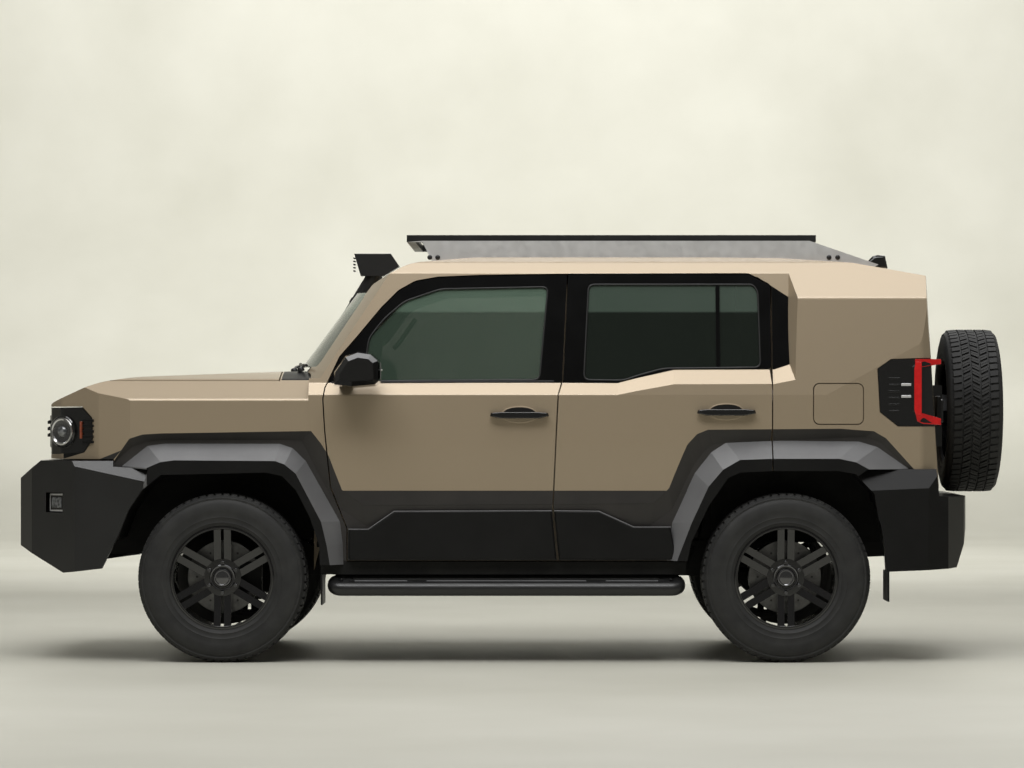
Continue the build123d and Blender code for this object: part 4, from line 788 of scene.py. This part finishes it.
# A door handle's (x, z) from its middle
HANDLE = ((-0.135, -0.002), (-0.131, 0.014), (-0.09, 0.018), (0.09, 0.018), (0.131, 0.014), (0.135, -0.002),
          (0.09, -0.012), (-0.09, -0.012))
# (x, y, z) on the left
STEP_LOOP = ((-0.02, 0.810, 0.370), (-0.752, 0.810, 0.370), (-0.752, 0.893, 0.338), (0.822, 0.893, 0.338),
             (0.822, 0.810, 0.370), (-0.02, 0.810, 0.370))
# (x, y, z) on the left of a painted highlight line on the mirror head
MIRROR_HIGHLIGHT = ((0.600, 0.985, 1.337), (0.66, 1.045, 1.341), (0.72, 1.068, 1.343), (0.785, 1.03, 1.340))
# (y, z) of the mirror glass
MIRROR_GLASS = ((0.958, 1.295), (0.955, 1.372), (1.055, 1.370), (1.062, 1.298))


def plan_y(x):
    """Half-width of the body at a station."""
    for (x0, y0), (x1, y1) in zip(PLAN, PLAN[1:]):
        if x1 <= x <= x0:
            return y0 + (y1 - y0) * (x0 - x) / (x0 - x1)
    return PLAN[0][1] if x > 0 else PLAN[-1][1]


def window_ring(name, outline, body, sign):
    """A rubber bead around a window, on the plane of the side windows."""
    points = [Vector((x, sign * (on_window_plane(z) - 0.0015), z)) for x, z in outline]
    start = points[0].lerp(points[1], 0.5)
    path = rounded_path([start] + points[1:] + points[:1] + [start], 0.03)
    tube(name, path[:-1], 0.0045, "seal", body, closed=True, resolution=2)


def make_side_trim():
    for word, sign in SIDES.items():
        plane = lambda x, z, sign=sign: sign * on_window_plane(z)
        for end, outline, seal in (("front", FRONT_CLADDING, FRONT_SEAL), ("rear", REAR_CLADDING, REAR_SEAL)):
            body = f"door_{end}_{word}"
            stages = [(outline, sign * 0.853), (outline, sign * 0.884),
                      (shrunk(outline, 0.007), sign * 0.891)]
            lofted(f"cladding_{end}_{word}", stages, "plastic", body, 0.0015)
            # A lit grey line along the cladding's top edge: a painted highlight.
            edge = [(x, sign * 0.8845, z + 0.0015) for x, z in outline if z > 0.6]
            tube(f"cladding_edge_{end}_{word}", edge, 0.0028, "arch", body, resolution=2)
            window_ring(f"seal_{end}_{word}", seal, body, sign)
        prism(f"division_{word}", DIVISION, sign * -0.010, sign * 0.0005, "pillar", f"door_rear_{word}",
              0.001, shift=plane)
        prism(f"belt_{word}", BELT, sign * -0.004, sign * 0.004, "seal", f"door_front_{word}", 0.001,
              shift=plane)


def make_handles():
    for word, sign in SIDES.items():
        for end, x, z in (("front", -0.025, 1.128), ("rear", -0.971, 1.141)):
            body = f"door_{end}_{word}"
            ends = [radians(a) for a in range(0, 360, 20)]
            cup = [(x + 0.085 * cos(a), z + 0.006 + 0.040 * sin(a)) for a in ends]
            # The upper half of the cup is drawn gloss black: painted shade under its top lip.
            shaded_half = [(px, max(pz, z)) for px, pz in shrunk(cup, 0.007)]
            grip = [(x + dx, z + dz) for dx, dz in HANDLE]
            rim = [(cup, sign * 0.884), (cup, sign * 0.8915), (shrunk(cup, 0.004), sign * 0.8925)]
            bar = [(shrunk(grip, 0.006), sign * 0.889), (grip, sign * 0.897), (grip, sign * 0.911),
                   (shrunk(grip, 0.008), sign * 0.920)]
            lofted(f"handle_cup_{end}_{word}", rim, "paint", body)
            lofted(f"handle_shade_{end}_{word}", [(shaded_half, sign * 0.886), (shaded_half, sign * 0.8932)],
                   "gloss_black", body)
            lofted(f"handle_{end}_{word}", bar, "gloss_black", body, 0.003)


def make_step_tubes():
    """Round tubes over the many-sided ones of the side steps."""
    for word, sign in SIDES.items():
        path = rounded_path([(x, sign * y, z) for x, y, z in STEP_LOOP], 0.085, 8)
        tube(f"step_tube_{word}", path[:-1], 0.0325, "black_steel", "body", closed=True, resolution=6)
        for step, (x0, x1) in enumerate(((-0.66, -0.42), (-0.33, 0.40), (0.49, 0.73))):
            # The pads' ribs are lit grey: partly painted light from above.
            for rib in range(3):
                y = sign * (0.832 + 0.020 * rib)
                z = 0.3865 - 0.0077 * (rib + 1)
                tube(f"step_rib_{step}_{rib}_{word}", [(x0, y, z), (x1, y, z)], 0.004, "arch", "body",
                     resolution=2)


def make_mirror_glass():
    for word, sign in SIDES.items():
        body = f"door_front_{word}"
        verts = [(x, sign * y, z) for x in (0.6045, 0.6015) for y, z in MIRROR_GLASS]
        new_piece(f"mirror_glass_{word}", verts, BOX_FACES, "chrome", body)
        # A silver line around the mirror head: a painted highlight band.
        line = [(x, sign * y, z) for x, y, z in MIRROR_HIGHLIGHT]
        tube(f"mirror_line_{word}", rounded_path(line, 0.05), 0.004, "silver", body, resolution=2)


def make_liners():
    """Splash liners inside the arches, which close the view through the wheel wells."""
    for word, sign in SIDES.items():
        prism(f"liner_rear_{word}", REAR_LINER, sign * 0.572, sign * 0.578, "underbody", "body")
        prism(f"liner_front_{word}", FRONT_LINER, sign * 0.430, sign * 0.436, "underbody", "body")


# Lamps and front

AHEAD = (1, 0, 0)
SKID_FACE = (0.449, 0, -0.893)
LAMP_PARTS = (
    # part, look, segments, (radius, y) points
    ("drum", "gloss_black", 48, ((0, -0.01), (0.074, -0.01), (0.074, 0.010), (0.070, 0.014), (0.064, 0.014))),
    ("ring", "chrome", 64, ((0.051, 0.010), (0.052, 0.016), (0.057, 0.020), (0.063, 0.019), (0.066, 0.013),
                            (0.066, 0.008))),
    ("bowl", "bowl", 48, ((0.052, 0.014), (0.044, 0.0125), (0.032, 0.0115), (0.024, 0.0115))),
    ("eye", "lens", 40, ((0.026, 0.010), (0.026, 0.014), (0.022, 0.020), (0.014, 0.0245), (0.006, 0.0262),
                         (0, 0.0265))),
)
FOG_PARTS = (
    # part, width, height, back and front y, look, bevel
    ("frame", 0.118, 0.086, -0.030, -0.016, "silver", 0.004),
    ("dark", 0.098, 0.068, -0.024, -0.0145, "gloss_black", 0.003),
    ("lens", 0.074, 0.050, -0.022, -0.010, "lens", 0.005),
)
TAIL_PARTS = (
    # part, outline of (x, z), depth in the body, height over it, look
    ("frame", ((-1.822, 1.146), (-1.822, 1.352), (-1.836, 1.362), (-1.866, 1.362), (-1.868, 1.352),
               (-1.868, 1.146)), 0.012, 0.004, "gloss_black"),
    ("upright", ((-1.838, 1.135), (-1.832, 1.155), (-1.832, 1.343), (-1.838, 1.376), (-1.866, 1.376),
                 (-1.866, 1.130)), 0.010, 0.0078, "red"),
    ("top", ((-1.836, 1.352), (-1.836, 1.388), (-1.870, 1.389), (-1.962, 1.389), (-1.962, 1.366),
             (-1.870, 1.352)), 0.010, 0.0065, "red"),
    ("low", ((-1.845, 1.104), (-1.838, 1.140), (-1.870, 1.140), (-1.962, 1.116), (-1.962, 1.086),
             (-1.870, 1.092)), 0.010, 0.0065, "red"),
)


def make_front_lamps():
    for word, sign in SIDES.items():
        side = (0.554, 0.833 * sign, 0)
        place = facing(2.078, sign * 0.7235, 1.056, side)
        for part, look, segments, profile in LAMP_PARTS:
            turned(f"lamp_{part}_{word}", profile, segments, look, "body", place)
        amber = facing(1.9885, sign * 0.7825, 1.0625, side)
        plate(f"lamp_amber_{word}", 0.012, 0.079, -0.004, 0.010, "amber", "body", amber, 0.003)
        ribs = [(1.954, sign * 0.8055, 1.008 + step * 0.0245) for step in range(5)]
        plates("lamp_rib_{}_" + word, ribs, side, 0.062, 0.013, -0.004, 0.010, "plastic", 0.003)
        front = facing(2.153, sign * 0.51, 1.056, AHEAD)
        plate(f"lamp_front_{word}", 0.16, 0.150, -0.006, 0.004, "gloss_black", "body", front, 0.004)
        fog = facing(2.117, sign * 0.7655, 0.729, (0.728, 0.686 * sign, 0))
        for part, across, up, y0, y1, look, bevel in FOG_PARTS:
            plate(f"fog_{part}_{word}", across, up, y0, y1, look, "body", fog, bevel)
    louvres = [(2.150, 0, z) for z in (1.1006, 1.071, 1.041)]
    plates("grille_bar_{}", louvres, AHEAD, 1.18, 0.014, -0.02, 0.016, "plastic", 0.004)
    bars = [(2.262, -0.32 + step * 0.08, 0.66) for step in range(9)]
    plates("bumper_bar_{}", bars, AHEAD, 0.022, 0.196, -0.002, 0.022, "plastic", 0.004)
    skid = facing(2.190, 0, 0.466, SKID_FACE)
    plate("skid_plate", 0.74, 0.20, -0.004, 0.010, "silver", "body", skid, 0.006)
    slots = [(2.190, -0.21 + step * 0.14, 0.466) for step in range(4)]
    plates("skid_slot_{}", slots, SKID_FACE, 0.06, 0.10, -0.002, 0.0108, "plastic", 0.004)


def bar_outline(x0, x1, z, half):
    """A level bar's outline."""
    return ((x0, z - half), (x0, z + half), (x1, z + half), (x1, z - half))


def make_tail_lamps():
    for word, sign in SIDES.items():
        on_body = lambda x, z, sign=sign: sign * plan_y(x)
        parts = [(f"{part}_{word}", outline, root, rise, look, 0.002)
                 for part, outline, root, rise, look in TAIL_PARTS]
        for step, z in enumerate((1.271, 1.217)):
            parts.append((f"dash_{step}_{word}", bar_outline(-1.772, -1.818, z, 0.006), 0.010, 0.005,
                          "silver", 0.002))
        for step in range(6):
            z = 1.300 - step * 0.030
            parts.append((f"rib_{step}_{word}", bar_outline(-1.715, -1.765, z, 0.004), 0.010, 0.003,
                          "gloss_black", 0.001))
        for name, outline, root, rise, look, bevel in parts:
            prism(f"tail_{name}", outline, -sign * root, sign * rise, look, "body", bevel, shift=on_body)


# Roof, screen and brakes

FIN = ((-1.655, 1.832), (-1.690, 1.868), (-1.712, 1.892), (-1.735, 1.897), (-1.772, 1.893), (-1.785, 1.832))
# (radius, y) profiles
BOLT = ((0, 0.007), (0.006, 0.007), (0.009, 0.0055), (0.0115, 0.002), (0.0115, -0.002))
CLAMP = ((0.0385, -0.012), (0.0425, -0.012), (0.0425, 0.012), (0.0385, 0.012))
WIPER_HUB = ((0, 0.012), (0.012, 0.010), (0.016, 0.002), (0.016, -0.012))
DISC = ((0.07, -0.004), (0.074, -0.0105), (0.082, -0.0115), (0.166, -0.0115), (0.168, -0.013),
        (0.168, -0.041))
# (radius, y) of a dark dot that paints the shade of a drilled hole
DISC_HOLE_SHADE = ((0, 0.0004), (0.005, 0.0002), (0.0055, -0.002))


def make_roof_parts():
    tip = shrunk(FIN, 0.012)
    lofted("fin", [(tip, -0.022), (FIN, -0.008), (FIN, 0.008), (tip, 0.022)], "gloss_black", "body", 0.003)
    for word, sign in SIDES.items():
        for step, x in enumerate((0.393, 0.356, -1.46, -1.50)):
            place = facing(x, sign * 0.6095, 1.863, (0, sign, 0))
            turned(f"rack_bolt_{step}_{word}", BOLT, 20, "black_steel", "body", place)
        edge = [(0.38, sign * 0.6105, 1.842), (-1.60, sign * 0.6105, 1.806)]
        tube(f"rack_edge_{word}", edge, 0.003, "silver", "body", resolution=2)
    bars = [(0.806, -0.790, 1.846 + step * 0.016) for step in range(5)]
    plates("snorkel_bar_{}", bars, AHEAD, 0.074, 0.006, -0.004, 0.007, "plastic", 0.002)
    top = Vector((0.700, -0.790, 1.835))
    foot = Vector((1.010, -0.862, 1.330))
    turn = (foot - top).to_track_quat("Y", "Z").to_matrix().to_4x4()
    for step, share in enumerate((0.3, 0.72)):
        place = Matrix.Translation(top.lerp(foot, share)) @ turn
        turned(f"snorkel_clamp_{step}", CLAMP, 32, "seal", "body", place, closed=True)


def screen_x(y, z):
    """The windscreen's outer surface."""
    return 1.042 - y * y / 5.2 - (z - 1.332) * 0.741


def make_wipers():
    for name, start, end in (("left", 0.60, 0.06), ("right", -0.02, -0.56)):
        line = []
        for step in range(7):
            y = start + (end - start) * step / 6
            z = 1.362 + 0.012 * step / 6
            line.append((screen_x(y, z) + 0.014, y, z))
        tube(f"wiper_blade_{name}", line, 0.006, "seal", "body", resolution=2)
        pivot = (screen_x(start, 1.338) + 0.028, start - 0.06, 1.345)
        arm = [pivot, (pivot[0] - 0.006, start - 0.12, 1.362), line[3]]
        tube(f"wiper_arm_{name}", rounded_path(arm, 0.05), 0.0065, "black_steel", "body", resolution=2)
        turned(f"wiper_pivot_{name}", WIPER_HUB, 24, "black_steel", "body", facing(*pivot, (0.3, 0, 0.95)))


def make_brakes():
    for word, sign in SIDES.items():
        for end in ("front", "rear"):
            body = f"knuckle_{word}" if end == "front" else "body"
            place = facing(*centre_of(f"tyre_{end}_{word}"), (0, sign, 0))
            turned(f"disc_{end}_{word}", DISC, 72, "disc", body, place)
            # Dark dots on the disc stand for the drilled holes: painted shade, the disc is not cut through.
            for step in range(18):
                turn = radians(20 * step)
                hole_shade = place @ Matrix.Translation((0.125 * cos(turn), -0.0114, 0.125 * sin(turn)))
                turned(f"disc_hole_{step}_{end}_{word}", DISC_HOLE_SHADE, 10, "seal", body, hole_shade)


# Cabin

# Degrees that backrests, headrests and the steering wheel lean
BACK_TILT = -20
HEAD_TILT = -8
WHEEL_TILT = 65
# (x, y, z) of the left grab handle
GRAB = ((0.605, 0.712, 1.462), (0.590, 0.680, 1.475), (0.515, 0.665, 1.580), (0.505, 0.690, 1.600))


def seat_part(name, lo, hi, look, place, round_by=0.045):
    piece = soft_box(name, lo, hi, look, "body", round_by, 0.012, place=place)
    return piece


def make_seats():
    for word, sign in SIDES.items():
        y = 0.37 * sign
        base = Matrix.Translation((0.10, y, 0.785))
        cushion = seat_part(f"seat_base_{word}", (-0.23, -0.17, -0.065), (0.235, 0.17, 0.06), "fabric", base)
        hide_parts("front_seats")
        back = tilted((-0.135, y, 1.125), BACK_TILT)
        seat_part(f"seat_back_{word}", (-0.055, -0.17, -0.30), (0.055, 0.17, 0.30), "fabric", back)
        for label, edge in (("in", -1), ("out", 1)):
            roll = base @ Matrix.Translation((0, 0.20 * edge, 0.012))
            seat_part(f"seat_roll_{label}_{word}", (-0.22, -0.045, -0.07), (0.21, 0.045, 0.065), "leather",
                      roll, 0.04)
            wing = back @ Matrix.Translation((0.012, 0.20 * edge, 0))
            seat_part(f"seat_wing_{label}_{word}", (-0.06, -0.042, -0.29), (0.065, 0.042, 0.27), "leather",
                      wing, 0.04)
            post = [(-0.245, y + 0.05 * edge, 1.40), (-0.262, y + 0.05 * edge, 1.50)]
            tube(f"seat_post_{label}_{word}", post, 0.006, "chrome", "body", resolution=2)
        head = tilted((-0.258, y, 1.54), HEAD_TILT)
        seat_part(f"seat_head_{word}", (-0.045, -0.125, -0.085), (0.045, 0.125, 0.085), "leather", head, 0.04)
        frame_place = facing(0.10, y, 0.64, (0, 1, 0))
        plate(f"seat_frame_{word}", 0.34, 0.15, -0.18, 0.18, "trim", "body", frame_place, 0.01)
    bench = Matrix.Translation((-0.67, 0, 0.86))
    cushion = seat_part("bench_base", (-0.225, -0.63, -0.06), (0.225, 0.63, 0.055), "fabric", bench)
    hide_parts("rear_seat")
    back = tilted((-0.868, 0, 1.17), BACK_TILT)
    for word, low, high, width in (("left", 0.12, 0.63, 0.11), ("middle", -0.10, 0.10, 0.085),
                                   ("right", -0.63, -0.12, 0.11)):
        seat_part(f"bench_back_{word}", (-0.05, low, -0.29), (0.055, high, 0.29), "fabric", back)
        head = tilted((-1.0, (low + high) / 2, 1.53), HEAD_TILT)
        seat_part(f"bench_head_{word}", (-0.04, -width, -0.075), (0.04, width, 0.075), "leather", head, 0.038)
    plate("bench_frame", 0.36, 0.24, -0.55, 0.55, "trim", "body", facing(-0.68, 0, 0.67, (0, 1, 0)), 0.01)


def make_cabin_parts():
    place = tilted((0.440, 0.370, 1.100), WHEEL_TILT)
    turns = [radians(a) for a in range(0, 360, 8)]
    circle = [place @ Vector((0.180 * cos(a), 0.180 * sin(a), 0)) for a in turns]
    rim = tube("steering_rim", circle, 0.015, "leather", "body", closed=True)
    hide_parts("steering_wheel")
    for step, turn in enumerate((0, 180, 90)):
        end = place @ Vector((0.172 * sin(radians(turn + 90)), 0.172 * cos(radians(turn + 90)), 0))
        tube(f"steering_spoke_{step}", [place @ Vector((0, 0, -0.012)), end], 0.013, "trim", "body",
             resolution=2)
    soft_box("steering_hub", (-0.05, -0.065, -0.03), (0.05, 0.065, 0.018), "trim", "body", 0.025, 0.006,
             place=place)
    column = [place @ Vector((0, 0, -0.01)), place @ Vector((0, 0, 0.14))]
    tube("steering_column", column, 0.03, "trim", "body", resolution=3)
    for word, sign in SIDES.items():
        grab = [(x, sign * y, z) for x, y, z in GRAB]
        tube(f"grab_{word}", rounded_path(grab, 0.03), 0.012, "trim", "body", resolution=3)
    soft_box("cluster", (0.50, 0.22, 1.20), (0.60, 0.52, 1.285), "trim", "body", 0.03, 0.004)
    soft_box("screen", (0.535, -0.14, 1.17), (0.555, 0.14, 1.30), "gloss_black", "body", 0.008, 0.001)


def make_tailgate_parts():
    place = facing(-1.975, 0.50, 1.150, (-1, 0, 0))
    plate("gate_handle_base", 0.10, 0.14, -0.010, 0.012, "plastic", "tailgate", place, 0.006)
    plate("gate_handle", 0.030, 0.11, 0.008, 0.026, "gloss_black", "tailgate", place, 0.006)
    strip = [(-1.905, y / 10, 1.735) for y in range(-3, 4)]
    tube("gate_top_lamp", strip, 0.010, "red", "tailgate", resolution=3)


dress_nodes()
finish_body()
soften(["side_steps", "rear_axle"])
for name in NODE_LOOKS["alloy"]:
    rounded(nodes[name], 0.0035, 2, 50)
make_wheels()
make_window_surrounds()
make_quarter_strip()
make_side_trim()
make_painted_shade_band()
make_handles()
make_step_tubes()
make_mirror_glass()
make_front_lamps()
make_tail_lamps()
make_liners()
make_roof_parts()
make_wipers()
make_brakes()
make_seats()
make_cabin_parts()
make_tailgate_parts()


# Studio

LIGHTS = (
    # name, place, target, size, watts
    ("top_light", (0.0, 1.0, 8.0), (0, 0, 1.0), (10.0, 6.0), 480),
    ("side_light", (1.0, 6.5, 9.5), (0, 0, 1.0), (10.0, 3.0), 720),
    ("far_light", (-3.0, -7.0, 8.5), (0, 0, 1.0), (8.0, 3.0), 240),
    ("wall_light", (0, -8.0, 9.0), (0, -22.0, 5.0), (13.0, 5.0), 2100),
)


def make_stage():
    """A pale floor that sweeps up into a pale wall."""
    half, front, back, height, bend = 45.0, 26.0, -16.0, 16.0, 6.0
    line = [(front, 0.0)]
    for step in range(13):
        turn = radians(90 * step / 12)
        line.append((back - bend * sin(turn), bend * (1 - cos(turn))))
    line.append((back - bend, height))
    verts = [(x, y, z) for y, z in line for x in (-half, half)]
    faces = [(2 * i, 2 * i + 1, 2 * i + 3, 2 * i + 2) for i in range(len(line) - 1)]
    mesh = bpy.data.meshes.new("studio_floor")
    mesh.from_pydata(verts, [], faces)
    smooth_faces(mesh)
    tint = ((0.57, 0.56, 0.48), (0.64, 0.63, 0.55), "noise", 0.8, 6)
    mesh.materials.append(make_look("studio_pale", tint, (0.0, 1.2, grey(0.82), grey(1.15))))
    floor = bpy.data.objects.new("studio_floor", mesh)
    bpy.context.scene.collection.objects.link(floor)


def area_light(name, place, target, size, power):
    lamp = bpy.data.lights.new(name, "AREA")
    lamp.shape = "RECTANGLE"
    lamp.size, lamp.size_y = size
    lamp.energy = power
    holder = bpy.data.objects.new(name, lamp)
    bpy.context.scene.collection.objects.link(holder)
    holder.location = place
    holder.rotation_euler = (Vector(target) - Vector(place)).to_track_quat("-Z", "Y").to_euler()


def make_lights():
    scene = bpy.context.scene
    scene.world = bpy.data.worlds.new("studio")
    scene.world.use_nodes = True
    sky = scene.world.node_tree.nodes["Background"]
    sky.inputs["Color"].default_value = (0.93, 0.90, 0.82, 1)
    sky.inputs["Strength"].default_value = 0.16
    for light in LIGHTS:
        area_light(*light)
    scene.view_settings.view_transform = "Standard"


def make_camera():
    """The photograph's viewpoint: level, square to the left side, from about 19 m."""
    lens = bpy.data.cameras.new("photo_camera")
    lens.sensor_width = 36.0
    lens.lens = 140.9
    lens.shift_x = -0.0293
    lens.shift_y = 0.0205
    lens.clip_end = 200
    holder = bpy.data.objects.new("photo_camera", lens)
    bpy.context.scene.collection.objects.link(holder)
    holder.location = (-0.128, 19.212, 1.178)
    holder.rotation_euler = (radians(90), 0, radians(180))
    bpy.context.scene.camera = holder


make_stage()
make_lights()
make_camera()
